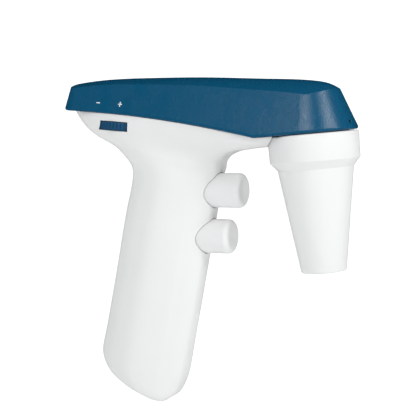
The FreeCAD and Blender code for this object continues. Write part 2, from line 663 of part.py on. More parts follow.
block_parts, block_cuts, carrier_parts, carrier_cuts = [], [], [], []
for name, frame in BUTTON_FRAMES.items():
    reach = name + "_reach"
    button(name + "_button", frame, reach)
    spring(name + "_spring", frame, "0 - block_start", reach + " - button_face")
    head = reach + " - button_face - stem_head_gap"
    groove_top = "0 - block_start - stem_groove_start"
    groove_low = groove_top + " - stem_groove_width"
    stem = turned(name + "_stem", in_frame(frame, 0, 0, 0, OUTWARD),
                  [(0, head), ("stem_neck_radius", head),
                   ("stem_neck_radius", "stem_neck_end - block_start"),
                   ("stem_radius", "stem_neck_end - block_start"), ("stem_radius", groove_top),
                   ("stem_radius - stem_groove_depth", groove_top),
                   ("stem_radius - stem_groove_depth", groove_low),
                   ("stem_radius", groove_low), ("stem_radius", "stem_tip_length - stem_end"),
                   ("stem_tip_radius", "0 - stem_end"), (0, "0 - stem_end")])
    node(name + "_stem", stem)
    seal = add("Part::Torus", name + "_stem_seal",
               Radius1="stem_radius - stem_groove_depth + stem_seal_radius",
               Radius2="stem_seal_radius")
    seal_place = size(groove_top + " - stem_groove_width/2")
    seal.Placement = in_frame(frame, seal_place, 0, 0, OUTWARD)
    node(name + "_stem_seal", seal)
    above = "block_over" if name == "aspirate" else "button_pitch/2"
    below = "button_pitch/2" if name == "aspirate" else "block_under"
    block_parts.append(box(name + "_valve_box", frame, "0 - block_start - block_depth/2", 0,
                           "(%s - %s)/2" % (above, below), "block_depth", "2*block_half_width",
                           "%s + %s" % (above, below)))
    block_cuts.append(rod(name + "_valve_bore", frame, "0 - block_start - block_depth - overcut",
                          0, 0, "stem_radius + stem_gap", "block_depth + 2*overcut", OUTWARD))
    carrier_parts.append(box(name + "_carrier_box", frame, "0 - carrier_depth/2", 0, 0, "carrier_depth",
                             "2*carrier_half_width", "button_pitch"))
    carrier_cuts.append(rod(name + "_carrier_bore", frame, "0 - carrier_depth - overcut", 0, 0,
                            "button_radius + button_guide_gap", "carrier_depth + 2*overcut",
                            OUTWARD))
    node(name + "_switch", box(name + "_switch", frame,
                               "0 - block_start - switch_setback - switch_length/2",
                               "block_half_width + seat_gap + switch_width/2", 0,
                               "switch_length", "switch_width", "switch_height"))
    lever = add("Part::Box", name + "_switch_lever", Length="lever_length",
                Width="lever_thickness", Height="lever_width")
    lever.Placement = in_frame(frame, size("lever_gap - block_start"),
                               size("block_half_width + lever_side"), -size("lever_width") / 2,
                               Rotation(Vector(0, 0, 1), -size("lever_lean")))
    node(name + "_switch_lever", lever)

PORTS = {"nose": ("0 - port_front", "port_side"), "inlet": ("0 - port_front", "0 - port_side"),
         "outlet": ("0 - port_rear", "0")}
nipples = [rod("valve_nipple_" + name, BUTTON, x, y, "block_over - root", "nipple_radius",
               "nipple_length + root") for name, (x, y) in PORTS.items()]
drillings = [rod("valve_drilling_" + name, BUTTON, x, y, "block_over - drilling_depth",
                 "nipple_bore_radius", "nipple_length + drilling_depth + overcut")
             for name, (x, y) in PORTS.items()]
block_body = fuse("valve_body", *(block_parts + nipples))
node("valve_block", cut("valve_block", block_body, *(block_cuts + drillings)))
carrier_body = fuse("carrier_body", *carrier_parts)
room = feature("handle_room", handle_volume(size("handle_wall + fit_gap")), HANDLE)
carrier_fitted = common("carrier_fitted", carrier_body, room)
node("button_carrier", cut("button_carrier", carrier_fitted, *carrier_cuts))

# ---------------------------------------------------------------- speed wheel and circuit board

def speed_wheel():
    """Ribbed disc: a rim with evenly spaced grooves along its edge."""
    radius, height = size("wheel_radius"), size("wheel_height")
    below, cutter = -height / 2 - size("overcut"), height + 2 * size("overcut")
    disc = Part.makeCylinder(radius, height, Vector(0, 0, -height / 2))
    disc = disc.cut(Part.makeCylinder(size("wheel_bore_radius"), cutter, Vector(0, 0, below)))
    count = int(size("wheel_ribs"))
    groove_radius = math.pi * radius / count / 2
    grooves = []
    for index in range(count):
        turn = 2 * math.pi * index / count
        middle = radius + groove_radius - size("wheel_rib_depth")
        centre = Vector(middle * math.cos(turn), middle * math.sin(turn), below)
        grooves.append(Part.makeCylinder(groove_radius, cutter, centre))
    return disc.cut(grooves)


node("speed_wheel", feature("speed_wheel", speed_wheel(), WHEEL))
node("wheel_shaft", rod("wheel_shaft", WHEEL, 0, 0, "0 - wheel_height/2",
                        "wheel_bore_radius - stem_gap", "wheel_height/2 + wheel_shaft_end"))
dial_start = "wheel_height/2 + dial_gap"
dial_box = box("dial_box", WHEEL, 0, 0, "(%s + board_height)/2" % dial_start, "dial_width",
               "dial_width", "board_height - (%s)" % dial_start)
dial_bore = rod("dial_bore", WHEEL, 0, 0, 0, "wheel_bore_radius", "wheel_shaft_end + seat_gap")
node("speed_dial", cut("speed_dial", dial_box, dial_bore))
board_plate = box("board_plate", WHEEL, 0, 0, "board_height + board_thickness/2", "board_length",
                  "board_width", "board_thickness")
board_holes = [rod("board_hole_%d" % number, WHEEL, "%d*board_screw_pitch/2" % side, 0, 0,
                   "pilot_radius", THROUGH) for number, side in enumerate((-1, 1))]
node("circuit_board", cut("circuit_board", board_plate, *board_holes))
node("control_chip", box("control_chip", WHEEL, "chip_place", 0,
                         "board_height + board_thickness + chip_height/2", "chip_width",
                         "chip_width", "chip_height"))
node("motor_plug", box("motor_plug", WHEEL, "plug_place", "plug_side",
                       "board_height + board_thickness + plug_height/2", "plug_length",
                       "plug_width", "plug_height"))

# ---------------------------------------------------------------- motor and crank

PUMP = Placement(Vector(size("motor_front"), 0, size("motor_height")), Rotation())
motor_can = rod("motor_can", PUMP, "motor_rear - motor_front", 0, 0, "motor_radius",
                "motor_front - motor_rear", ALONG_X)
motor_boss = rod("motor_boss", PUMP, "motor_rear - motor_front - motor_boss_length", 0, 0,
                 "motor_radius - motor_boss_inset", "motor_boss_length", ALONG_X)
node("pump_motor", fuse("pump_motor", motor_can, motor_boss))
node("motor_shaft", rod("motor_shaft", PUMP, 0, 0, 0, "shaft_radius", "shaft_length", ALONG_X))
crank_hub = rod("crank_hub", PUMP, "hub_start", 0, 0, "hub_radius", "hub_length", ALONG_X)
crank_pin = rod("crank_pin", PUMP, "hub_start + hub_length - root", 0, "crank_throw",
                "crank_pin_radius", "crank_pin_length", ALONG_X)
crank_bore = rod("crank_bore", PUMP, "hub_start - root", 0, 0, "shaft_radius",
                 "shaft_length - hub_start + root", ALONG_X)
node("crank", cut("crank", fuse("crank_body", crank_hub, crank_pin), crank_bore))
bearing_outer = rod("bearing_outer", PUMP, "bearing_start", 0, "crank_throw", "bearing_radius",
                    "bearing_width", ALONG_X)
bearing_inner = rod("bearing_inner", PUMP, "bearing_start - overcut", 0, "crank_throw",
                    "crank_pin_radius", "bearing_width + 2*overcut", ALONG_X)
node("crank_bearing", cut("crank_bearing", bearing_outer, bearing_inner))

# ---------------------------------------------------------------- pump

middle = "pump_length/2"
case_box = box("case_box", PUMP, middle, 0, "(pump_top + pump_floor)/2 - motor_height",
               "pump_length", "pump_width", "pump_top - pump_floor")
case_bore = rod("case_bore", PUMP, "0 - overcut", 0, 0, "crank_room_radius",
                "pump_length - pump_end_wall + overcut", ALONG_X)
case_well = rod("case_well", PUMP, middle, 0, "pump_floor - motor_height - overcut",
                "pump_well_radius", "motor_height - pump_floor + overcut")
node("pump_case", cut("pump_case", case_box, case_bore, case_well))
disc = rod("diaphragm_disc", PUMP, middle, 0, "pump_floor - diaphragm_thickness - motor_height",
           "pump_width/2 - diaphragm_edge", "diaphragm_thickness")
post = rod("diaphragm_stem", PUMP, middle, 0, "pump_floor - root - motor_height",
           "diaphragm_stem_radius",
           "motor_height + crank_throw - bearing_radius - pump_floor + root - diaphragm_stem_gap")
node("pump_diaphragm", fuse("pump_diaphragm", disc, post))
cap_top = "pump_floor - diaphragm_thickness - valve_plate"
plate = box("valve_plate", PUMP, middle, 0, cap_top + " + valve_plate/2 - motor_height",
            "pump_length", "pump_width", "valve_plate")
plate_holes = [rod("plate_hole_%d" % number, PUMP, middle, "%d*pump_port_side" % side,
                   cap_top + " - overcut - motor_height", "plate_hole_radius",
                   "valve_plate + 2*overcut") for number, side in enumerate((-1, 1))]
node("pump_valve_plate", cut("pump_valve_plate", plate, *plate_holes))
cap_box = box("cap_box", PUMP, middle, 0, "(%s + pump_cap_bottom)/2 - motor_height" % cap_top,
              "pump_length", "pump_width", "%s - pump_cap_bottom" % cap_top)
cap_nipples, cap_bores = [], []
for number, side in enumerate((-1, 1)):
    away = "%d*pump_port_side" % side
    level = "pump_port_height - motor_height"
    cap_nipples.append(rod("cap_nipple_%d" % number, PUMP, "0 - nipple_length", away, level,
                           "nipple_radius", "nipple_length + root", ALONG_X))
    cap_bores.append(rod("cap_bore_%d" % number, PUMP, "0 - nipple_length - overcut", away, level,
                         "nipple_bore_radius", "nipple_length + overcut + pump_drilling", ALONG_X))
node("pump_cap", cut("pump_cap", fuse("cap_body", cap_box, *cap_nipples), *cap_bores))

# ---------------------------------------------------------------- battery and charging port

cell = rod("battery_cell", HANDLE, "cell_centre", 0, "cell_bottom", "cell_radius", "cell_length")
node("battery_cell", cell)
node("battery_pad_low", rod("battery_pad_low", HANDLE, "cell_centre", 0,
                            "cell_bottom - pad_thickness", "pad_radius", "pad_thickness"))
node("battery_pad_high", rod("battery_pad_high", HANDLE, "cell_centre", 0,
                             "cell_bottom + cell_length", "pad_radius", "pad_thickness"))


def charging_port():
    """Thin round-ended shell, open to the rear, with a contact tongue inside."""
    start = size("heel_rear + port_setback")
    end = start + size("port_length")
    hollow = port_box(-size("port_wall"), start - size("overcut"), end - size("port_back"))
    half_width, half_thick = size("port_tongue_width") / 2, size("port_tongue_thickness") / 2
    level = size("port_level")
    tongue = placed_box(HANDLE, (start + size("port_tongue_start"), -half_width, level - half_thick),
                        (end - size("root"), half_width, level + half_thick))
    return port_box(0.0, start, end).cut(hollow).fuse(tongue)


node("charging_port", feature("charging_port", charging_port()))
node("charging_board", box("charging_board", HANDLE, "heel_rear + port_board_place", 0,
                           "port_level - port_height/2 - port_board_thickness/2",
                           "port_board_length", "port_board_width", "port_board_thickness"))

# ---------------------------------------------------------------- nose

cone = turned("nose_cone", WORLD,
              [("mouth_radius", 0), ("cone_top_radius", "cone_height"),
               ("ring_bottom_radius", "ring_bottom"), ("ring_top_radius", "ring_top"),
               ("ring_bore_radius", "ring_top"), ("ring_bore_radius", "ring_bottom + ring_floor"),
               ("cone_top_radius - nose_wall", "cone_height + cone_shoulder"),
               ("mouth_radius - nose_wall", 0)],
              [("mouth_radius", 0, "mouth_round"), ("ring_top_radius", "ring_top", "ring_round")])
node("nose_cone", cone)

slope = "(cone_top_radius - mouth_radius)/cone_height"
lip = "mouth_radius - nose_wall - adapter_gap"
valve_seat = "valve_bottom - seat_gap"
node("pipette_adapter", turned("pipette_adapter", WORLD,
     [("pipette_bore_radius", 0), (lip, 0), (lip + " + adapter_top*" + slope, "adapter_top"),
      ("valve_radius + valve_gap", "adapter_top"), ("valve_radius + valve_gap", valve_seat),
      ("throat_radius", valve_seat), ("throat_radius", "pipette_bore_length"),
      ("pipette_bore_radius", "pipette_bore_length")]))

cup_radius = "filter_barb_radius + barb_gap"
cup_floor = "filter_bottom - filter_barb - seat_gap"
room_radius = "flap_radius + flap_gap"
room_top = "valve_bottom + valve_floor + valve_room_height"
node("check_valve", turned("check_valve", WORLD,
     [("valve_inlet_radius", "valve_bottom"), ("valve_radius", "valve_bottom"),
      ("valve_radius", "filter_bottom - valve_rim_gap"), (cup_radius, "filter_bottom - valve_rim_gap"),
      (cup_radius, cup_floor), ("valve_outlet_radius", cup_floor), ("valve_outlet_radius", room_top),
      (room_radius, room_top), (room_radius, "valve_bottom + valve_floor"),
      ("valve_inlet_radius", "valve_bottom + valve_floor")]))
node("check_valve_flap", rod("check_valve_flap", WORLD, 0, 0,
                             "valve_bottom + valve_floor + seat_gap", "flap_radius",
                             "flap_thickness"))

disc_top = "filter_bottom + filter_height"
socket_top = disc_top + " + filter_socket"
socket_floor = disc_top + " + filter_socket_floor"
node("filter_housing", turned("filter_housing", WORLD,
     [("filter_bore_radius", "filter_bottom - filter_barb"),
      ("filter_barb_radius - barb_taper", "filter_bottom - filter_barb"),
      ("filter_barb_radius", "filter_bottom"), ("filter_radius", "filter_bottom"),
      ("filter_radius", disc_top), ("filter_socket_radius", disc_top),
      ("filter_socket_radius", socket_top), ("filter_socket_bore", socket_top),
      ("filter_socket_bore", socket_floor), ("filter_bore_radius", socket_floor),
      ("filter_bore_radius", disc_top + " - filter_face"),
      ("filter_radius - filter_wall", disc_top + " - filter_face"),
      ("filter_radius - filter_wall", "filter_bottom + filter_face"),
      ("filter_bore_radius", "filter_bottom + filter_face")]))
node("filter_membrane", rod("filter_membrane", WORLD, 0, 0,
                            "filter_bottom + (filter_height - membrane_thickness)/2",
                            "filter_radius - filter_wall - seat_gap", "membrane_thickness"))

spigot_radius = "filter_socket_bore - barb_gap"
spigot_low = disc_top + " + spigot_tip"
inner_floor = "cover_bottom + socket_floor"
groove_top = "groove_bottom + groove_height"
hub_top = "socket_flange + socket_hub_height"
nipple_top = hub_top + " + nipple_length"
shoulder = "cover_bottom - seat_gap"
socket = turned("socket_body", WORLD,
                [("filter_bore_radius", spigot_low), (spigot_radius + " - spigot_taper", spigot_low),
                 (spigot_radius, spigot_low + " + spigot_taper_length"), (spigot_radius, inner_floor),
                 ("collar_radius - collar_wall", inner_floor),
                 ("collar_radius - collar_wall", "collar_bottom"), ("collar_radius", "collar_bottom"),
                 ("collar_radius", "groove_bottom"), ("collar_radius - groove_depth", "groove_bottom"),
                 ("collar_radius - groove_depth", groove_top), ("collar_radius", groove_top),
                 ("collar_radius", shoulder), ("socket_flange_radius", shoulder),
                 ("socket_flange_radius", "socket_flange"), ("socket_hub_radius", "socket_flange"),
                 ("socket_hub_radius", hub_top), ("nipple_radius", hub_top),
                 ("nipple_radius", nipple_top), ("nipple_bore_radius", nipple_top),
                 ("nipple_bore_radius", "cover_bottom"), ("filter_bore_radius", "cover_bottom")])
socket_holes = [rod("socket_hole_%d" % angle, WORLD, *nose_screw_place(angle), "collar_bottom",
                    "pilot_radius", THROUGH) for angle in NOSE_SCREW_ANGLES]
node("nose_socket", cut("nose_socket", socket, *socket_holes))
nose_seal = add("Part::Torus", "nose_seal", Radius1="collar_radius - ring_seal_inset",
                Radius2="ring_seal_radius")
seal_level = size("groove_bottom + groove_height/2")
nose_seal.Placement = Placement(Vector(0, 0, seal_level), Rotation())
node("nose_seal", nose_seal)

# ---------------------------------------------------------------- tubes

def tube_end(x, y, height):
    """A point above the valve block, given in the aspirate button's frame."""
    point = BUTTON.multVec(Vector(size(x), size(y), size("block_over") + height))
    return (point.x, point.y, point.z)


radius, bore = size("tube_radius"), size("tube_bore_radius")
nose_top = size("socket_flange + 1.5")
node("nose_tube", route("nose_tube", [
    (0, 0, nose_top), (0, 0, nose_top + 9), (-14, 4, nose_top + 8), (-24.5, 12.6, 73), (-56, 12.4, 69),
    (-70, 10.5, 64.5), tube_end(*PORTS["nose"], 7), tube_end(*PORTS["nose"], 0.1)], radius, bore))
port_x, port_z = size("motor_front - 0.1"), size("pump_port_height")
for name, side in (("inlet", -1), ("outlet", 1)):
    away = size("pump_port_side") * side
    node("pump_%s_tube" % name, route("pump_%s_tube" % name, [
        (port_x, away, port_z), (port_x - 14, away, port_z), tube_end(*PORTS[name], 8),
        tube_end(*PORTS[name], 0.1)], radius, bore))

# ---------------------------------------------------------------- fasteners

def screw(frame, x, y, z, turn, length):
    """Pan-head screw: the head ends at the given point, the shank runs on from it."""
    shank = Part.makeCylinder(size("screw_radius"), length)
    head = Part.makeCylinder(size("screw_head_radius"), size("screw_head_height"),
                             Vector(0, 0, -size("screw_head_height")))
    recess = Part.makeCylinder(size("screw_recess_radius"), size("screw_recess_depth"),
                               Vector(0, 0, -size("screw_head_height")))
    made = shank.fuse(head).cut(recess)
    made.Placement = in_frame(frame, x, y, z, turn)
    return made


def group(name, shapes):
    return node(name, feature(name, Part.makeCompound(shapes)))


INWARD_Y = Rotation(Vector(1, 0, 0), 90)
group("handle_screws", [screw(HANDLE, along, size("screw_seat"), level, INWARD_Y, size("screw_length"))
                        for along, level in SHELL_SCREWS])
group("nose_screws", [screw(WORLD, *nose_screw_place(angle), size("cover_bottom + socket_floor"),
                            Rotation(), size("nose_screw_length")) for angle in NOSE_SCREW_ANGLES])
group("board_screws", [screw(WHEEL, side * size("board_screw_pitch") / 2, 0, size("board_height"),
                             Rotation(), size("board_screw_length")) for side in (-1, 1)])

# ---------------------------------------------------------------- check and write

DOC.recompute()
failed = [made.Name for made in DOC.Objects if "Invalid" in made.State or "Error" in made.State]
failed += [name for name, made in PARTS.items() if made.Shape.isNull() or not made.Shape.isValid()]
if failed:
    raise ValueError("failed: " + ", ".join(failed))

os.makedirs("parts", exist_ok=True)
for name, made in PARTS.items():
    made.Shape.exportStep("parts/%s.step" % name)
print("%d nodes" % len(PARTS))
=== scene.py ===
# %% [markdown]
# # A motorized pipette controller
# The finished tool has 53 pieces that a CAD program made to size. Blender loads them as a fixed
# frame: it never moves or resizes them. This lesson adds what the frame lacks, which is the look
# of each plastic and metal, the small pieces that are easier to model by hand, and a photo studio.

# %% Load the frame
import json
import math

import bmesh
import bpy
from mathutils import Matrix, Vector


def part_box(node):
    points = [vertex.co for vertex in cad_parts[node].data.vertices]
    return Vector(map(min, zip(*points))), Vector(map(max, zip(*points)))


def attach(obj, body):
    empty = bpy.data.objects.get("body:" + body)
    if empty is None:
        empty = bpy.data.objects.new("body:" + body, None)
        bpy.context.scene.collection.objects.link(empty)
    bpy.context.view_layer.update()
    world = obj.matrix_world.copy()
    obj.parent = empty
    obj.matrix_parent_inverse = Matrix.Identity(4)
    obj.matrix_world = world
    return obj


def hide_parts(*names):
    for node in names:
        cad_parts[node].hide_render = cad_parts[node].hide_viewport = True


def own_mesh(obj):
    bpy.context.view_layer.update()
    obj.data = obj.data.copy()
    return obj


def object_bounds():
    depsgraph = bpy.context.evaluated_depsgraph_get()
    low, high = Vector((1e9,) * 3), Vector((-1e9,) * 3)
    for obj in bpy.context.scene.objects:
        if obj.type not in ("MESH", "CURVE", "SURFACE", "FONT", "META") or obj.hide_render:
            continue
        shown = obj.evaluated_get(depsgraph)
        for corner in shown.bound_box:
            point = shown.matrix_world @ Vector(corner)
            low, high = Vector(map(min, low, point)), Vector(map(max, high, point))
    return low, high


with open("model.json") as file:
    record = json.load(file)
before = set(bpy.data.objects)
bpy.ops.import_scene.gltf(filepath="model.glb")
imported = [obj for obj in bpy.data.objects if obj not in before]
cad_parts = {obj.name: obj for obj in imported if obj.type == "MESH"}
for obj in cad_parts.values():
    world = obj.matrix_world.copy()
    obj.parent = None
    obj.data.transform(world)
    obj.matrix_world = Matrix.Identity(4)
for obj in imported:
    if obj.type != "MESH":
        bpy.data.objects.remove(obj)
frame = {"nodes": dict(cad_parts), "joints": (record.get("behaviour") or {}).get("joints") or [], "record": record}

cad_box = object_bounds()
nodes = frame["nodes"]
record = frame["record"]
joints = {joint["name"]: joint for joint in frame["joints"]}

# %% [markdown]
# ## Units and a clean start
# Blender works in metres, and a hand tool is easier to think about in millimetres, so one value
# turns the one into the other. Every operator acts on whatever is selected, and loading the frame
# leaves everything selected, so each modelling step begins by selecting nothing.

# %% Units and selection
MM = 0.001


def select_nothing():
    """Object mode, with nothing selected."""
    if bpy.context.object and bpy.context.object.mode != "OBJECT":
        bpy.ops.object.mode_set(mode="OBJECT")
    bpy.ops.object.select_all(action="DESELECT")


def take(piece):
    """Select one piece and make it the active one."""
    select_nothing()
    piece.select_set(True)
    bpy.context.view_layer.objects.active = piece


select_nothing()
print("selected:", len(bpy.context.selected_objects))

# %% [markdown]
# ## The camera
# The tool is seen from its right side and a little from the front, from just above the level of
# the buttons. A long lens keeps the handle and the nose in proportion, as in a catalogue picture.
# The camera is turned a few degrees about its own axis, so that the tool leans slightly.

# %% The camera
VIEW_AZIMUTH = math.radians(25.5)
VIEW_ELEVATION = math.radians(4.0)
VIEW_ROLL = math.radians(5.05)
VIEW_DISTANCE = 0.520
VIEW_TARGET = Vector((-0.0561, 0.0, 0.0316))
LENS_MM = 91.3


def camera_turn(azimuth, elevation, roll):
    """The camera's axes as columns: right, up and back."""
    back = Vector((math.sin(azimuth) * math.cos(elevation), -math.cos(azimuth) * math.cos(elevation),
                   math.sin(elevation)))
    right = Vector((0, 0, 1)).cross(back).normalized()
    up = back.cross(right)
    turned_right = right * math.cos(roll) - up * math.sin(roll)
    turned_up = right * math.sin(roll) + up * math.cos(roll)
    return Matrix((turned_right, turned_up, back)).transposed()


turn = camera_turn(VIEW_AZIMUTH, VIEW_ELEVATION, VIEW_ROLL)
select_nothing()
bpy.ops.object.camera_add(location=VIEW_TARGET + turn.col[2] * VIEW_DISTANCE)
camera = bpy.context.object
camera.name = "studio_camera"
camera.rotation_euler = turn.to_euler()
camera.data.lens = LENS_MM
camera.data.clip_start = 0.01
bpy.context.scene.camera = camera
print("camera at", [round(value, 3) for value in camera.location])

# %% [markdown]
# ## The floor
# Product pictures of white plastic use a floor that runs up into the wall behind in one sweep, so
# that no line shows where they meet. A plane is a start: its back edge is extruded up, and the
# corner is bevelled into a wide curve.

# %% The floor
FLOOR_SIZE = 3.2
WALL_HEIGHT = 2.2
floor_level = cad_box[0][2] - 0.0004

bpy.ops.mesh.primitive_plane_add(size=FLOOR_SIZE, location=(0, 0, floor_level))
floor = bpy.context.object
floor.name = "studio_floor"
bpy.ops.object.mode_set(mode="EDIT")
bpy.ops.mesh.select_mode(type="EDGE")
bpy.ops.mesh.select_all(action="DESELECT")
shape = bmesh.from_edit_mesh(floor.data)
for edge in shape.edges:
    edge.select = all(corner.co.y > 0 for corner in edge.verts)
bmesh.update_edit_mesh(floor.data)
bpy.ops.mesh.extrude_region_move(TRANSFORM_OT_translate={"value": (0, 0, WALL_HEIGHT)})
bpy.ops.mesh.select_all(action="DESELECT")
shape = bmesh.from_edit_mesh(floor.data)
for edge in shape.edges:
    edge.select = all(corner.co.y > 0 and abs(corner.co.z) < 1e-4 for corner in edge.verts)
bmesh.update_edit_mesh(floor.data)
bpy.ops.mesh.bevel(offset=0.7, segments=24)
bpy.ops.object.mode_set(mode="OBJECT")
bpy.ops.object.shade_smooth()
print("floor at", round(floor_level / MM, 1), "mm")

# %% [markdown]
# ## Light
# White plastic on white needs light from all round, with one side a little stronger, or its shape
# is lost. Two small soft panels stand above and in front, where the blue cover mirrors them. A
# larger one lights the tool from the handle's end and isn't mirrored, and the world fills the
# rest. What the camera sees behind the tool is pure white. The light that reaches the tool from
# there is dimmer, and what is mirrored of it is nearly black, which keeps the cover dark.

# %% The lights
LIGHT_TARGET = Vector((-0.05, 0, 0.03))
FILL_STRENGTH = 0.515
MIRRORED_STRENGTH = 0.01


def panel(name, azimuth, elevation, distance, width, height, power):
    """A soft rectangular light aimed at the tool."""
    way = camera_turn(math.radians(azimuth), math.radians(elevation), 0.0)
    select_nothing()
    bpy.ops.object.light_add(type="AREA", location=LIGHT_TARGET + way.col[2] * distance)
    light = bpy.context.object
    light.name = name
    light.rotation_euler = way.to_euler()
    light.data.shape = "RECTANGLE"
    light.data.size, light.data.size_y = width, height
    light.data.energy = power
    return light


panel("side_panel", 6.0, 38.0, 0.75, 0.15, 0.24, 1.3)
panel("nose_panel", 72.0, 30.0, 0.8, 0.16, 0.24, 2.2)
panel("rear_panel", -105.0, 6.0, 0.9, 0.45, 0.50, 1.9).visible_glossy = False

world = bpy.data.worlds.new("studio_world")
bpy.context.scene.world = world
world.use_nodes = True
tree = world.node_tree
tree.nodes.clear()
seen = tree.nodes.new("ShaderNodeLightPath")
white = tree.nodes.new("ShaderNodeBackground")
white.inputs["Color"].default_value = (1, 1, 1, 1)
fill = tree.nodes.new("ShaderNodeBackground")
fill.inputs["Color"].default_value = (0.97, 0.985, 1, 1)
fill.inputs["Strength"].default_value = FILL_STRENGTH
dim = tree.nodes.new("ShaderNodeBackground")
dim.inputs["Strength"].default_value = MIRRORED_STRENGTH
unless_mirrored = tree.nodes.new("ShaderNodeMixShader")
choose = tree.nodes.new("ShaderNodeMixShader")
out = tree.nodes.new("ShaderNodeOutputWorld")
tree.links.new(seen.outputs["Is Glossy Ray"], unless_mirrored.inputs["Fac"])
tree.links.new(fill.outputs["Background"], unless_mirrored.inputs[1])
tree.links.new(dim.outputs["Background"], unless_mirrored.inputs[2])
tree.links.new(seen.outputs["Is Camera Ray"], choose.inputs["Fac"])
tree.links.new(unless_mirrored.outputs["Shader"], choose.inputs[1])
tree.links.new(white.outputs["Background"], choose.inputs[2])
tree.links.new(choose.outputs["Shader"], out.inputs["Surface"])
bpy.context.scene.view_settings.view_transform = "Standard"

# %% [markdown]
# ## Effects that several finishes share
# Real surfaces are never one even colour. Moulded plastic has a fine grain from its mould, every
# piece is handled, which leaves it a little glossier in patches, and a sharp edge is rounded. The
# edge's colour is also painted lighter, partly as rubbed wear and partly as a painted highlight.
# Each effect is a node group, built once, and each material uses it with its own numbers. A group
# hands out only masks, heights and normals, so the shader stays in the material.

# %% A helper for node groups
def new_group(name, inputs, outputs):
    """An empty shader node group with named sockets; inputs give their default values."""
    group = bpy.data.node_groups.new(name, "ShaderNodeTree")
    for socket, kind, value in inputs:
        made = group.interface.new_socket(name=socket, in_out="INPUT", socket_type=kind)
        if value is not None:
            made.default_value = value
    for socket, kind in outputs:
        group.interface.new_socket(name=socket, in_out="OUTPUT", socket_type=kind)
    start = group.nodes.new("NodeGroupInput")
    end = group.nodes.new("NodeGroupOutput")
    return group, start, end


def sum_node(tree, operation, first, second):
    """A Math node; each input is a number or another node's socket."""
    made = tree.nodes.new("ShaderNodeMath")
    made.operation = operation
    for socket, value in zip(made.inputs, (first, second)):
        if isinstance(value, (int, float)):
            socket.default_value = value
        else:
            tree.links.new(value, socket)
    return made.outputs["Value"]


def spread(tree, value, low, high, new_low, new_high):
    """A Map Range node that holds its result between the two new values."""
    made = tree.nodes.new("ShaderNodeMapRange")
    made.clamp = True
    tree.links.new(value, made.inputs["Value"])
    for socket, number in zip(("From Min", "From Max", "To Min", "To Max"), (low, high, new_low, new_high)):
        made.inputs[socket].default_value = number
    return made.outputs["Result"]


FLOAT, VECTOR = "NodeSocketFloat", "NodeSocketVector"
print("helpers ready")

# %% [markdown]
# The mould's grain is a spark-eroded texture: small soft pits, all about one size, with a finer
# roughness over them. A Noise texture gives the pits, and a second one with a fifth of the size
# gives the roughness. The group divides one by the grain's size, so its input is in metres.

# %% The mould's grain
def grain_group():
    group, start, end = new_group("mould_grain", [("Vector", VECTOR, None), ("Size", FLOAT, 0.0004)],
                                  [("Height", FLOAT), ("Speckle", FLOAT)])
    repeat = sum_node(group, "DIVIDE", 1.0, start.outputs["Size"])
    finer = sum_node(group, "MULTIPLY", repeat, 4.7)
    heights = []
    for scale in (repeat, finer):
        noise = group.nodes.new("ShaderNodeTexNoise")
        noise.inputs["Detail"].default_value = 1.0
        group.links.new(start.outputs["Vector"], noise.inputs["Vector"])
        group.links.new(scale, noise.inputs["Scale"])
        heights.append(noise.outputs["Fac"])
    fine = sum_node(group, "MULTIPLY", heights[1], 0.35)
    group.links.new(sum_node(group, "ADD", heights[0], fine), end.inputs["Height"])
    group.links.new(spread(group, heights[0], 0.3, 0.7, 0.0, 1.0), end.inputs["Speckle"])
    return group


MOULD_GRAIN = grain_group()
print("group", MOULD_GRAIN.name)

# %% [markdown]
# Handling polishes the places that are gripped and leaves faint smears. Two Noise textures of
# hand-sized patches, one stretched along the handle, make a mask that is near zero over most of
# the surface and rises smoothly in patches.

# %% Handling marks
def handling_group():
    group, start, end = new_group("handling", [("Vector", VECTOR, None), ("Patch", FLOAT, 0.02)],
                                  [("Polish", FLOAT), ("Cloud", FLOAT)])
    repeat = sum_node(group, "DIVIDE", 1.0, start.outputs["Patch"])
    stretch = group.nodes.new("ShaderNodeMapping")
    stretch.inputs["Scale"].default_value = (1.0, 1.0, 0.35)
    group.links.new(start.outputs["Vector"], stretch.inputs["Vector"])
    masks = []
    for vector, factor in ((start.outputs["Vector"], 1.0), (stretch.outputs["Vector"], 2.6)):
        noise = group.nodes.new("ShaderNodeTexNoise")
        noise.inputs["Detail"].default_value = 3.0
        group.links.new(vector, noise.inputs["Vector"])
        group.links.new(sum_node(group, "MULTIPLY", repeat, factor), noise.inputs["Scale"])
        masks.append(noise.outputs["Fac"])
    smear = spread(group, masks[1], 0.48, 0.72, 0.0, 1.0)
    group.links.new(sum_node(group, "MULTIPLY", masks[0], smear), end.inputs["Polish"])
    group.links.new(spread(group, masks[0], 0.25, 0.75, 0.0, 1.0), end.inputs["Cloud"])
    return group


HANDLING = handling_group()
print("group", HANDLING.name)

# %% [markdown]
# A moulded or cut edge is never perfectly sharp. The Bevel node bends the normal near an edge as
# if it were rounded, and where the bent normal differs from the true one there is an edge. That
# difference is a mask. The bent normal gives the soft highlight, and the mask paints a paler line
# into the colour, which is partly rubbed wear and partly a painted highlight.

# %% Rounded edges, with wear and a painted highlight
def edge_group():
    group, start, end = new_group("rounded_edge_wear_highlight", [("Radius", FLOAT, 0.0003)],
                                  [("Normal", VECTOR), ("Edge", FLOAT)])
    bevel = group.nodes.new("ShaderNodeBevel")
    bevel.samples = 6
    group.links.new(start.outputs["Radius"], bevel.inputs["Radius"])
    true_normal = group.nodes.new("ShaderNodeNewGeometry")
    compare = group.nodes.new("ShaderNodeVectorMath")
    compare.operation = "DOT_PRODUCT"
    group.links.new(bevel.outputs["Normal"], compare.inputs[0])
    group.links.new(true_normal.outputs["Normal"], compare.inputs[1])
    group.links.new(bevel.outputs["Normal"], end.inputs["Normal"])
    group.links.new(spread(group, compare.outputs["Value"], 0.995, 0.86, 0.0, 1.0), end.inputs["Edge"])
    return group


ROUNDED_EDGE_WEAR_HIGHLIGHT = edge_group()
print("group", ROUNDED_EDGE_WEAR_HIGHLIGHT.name)

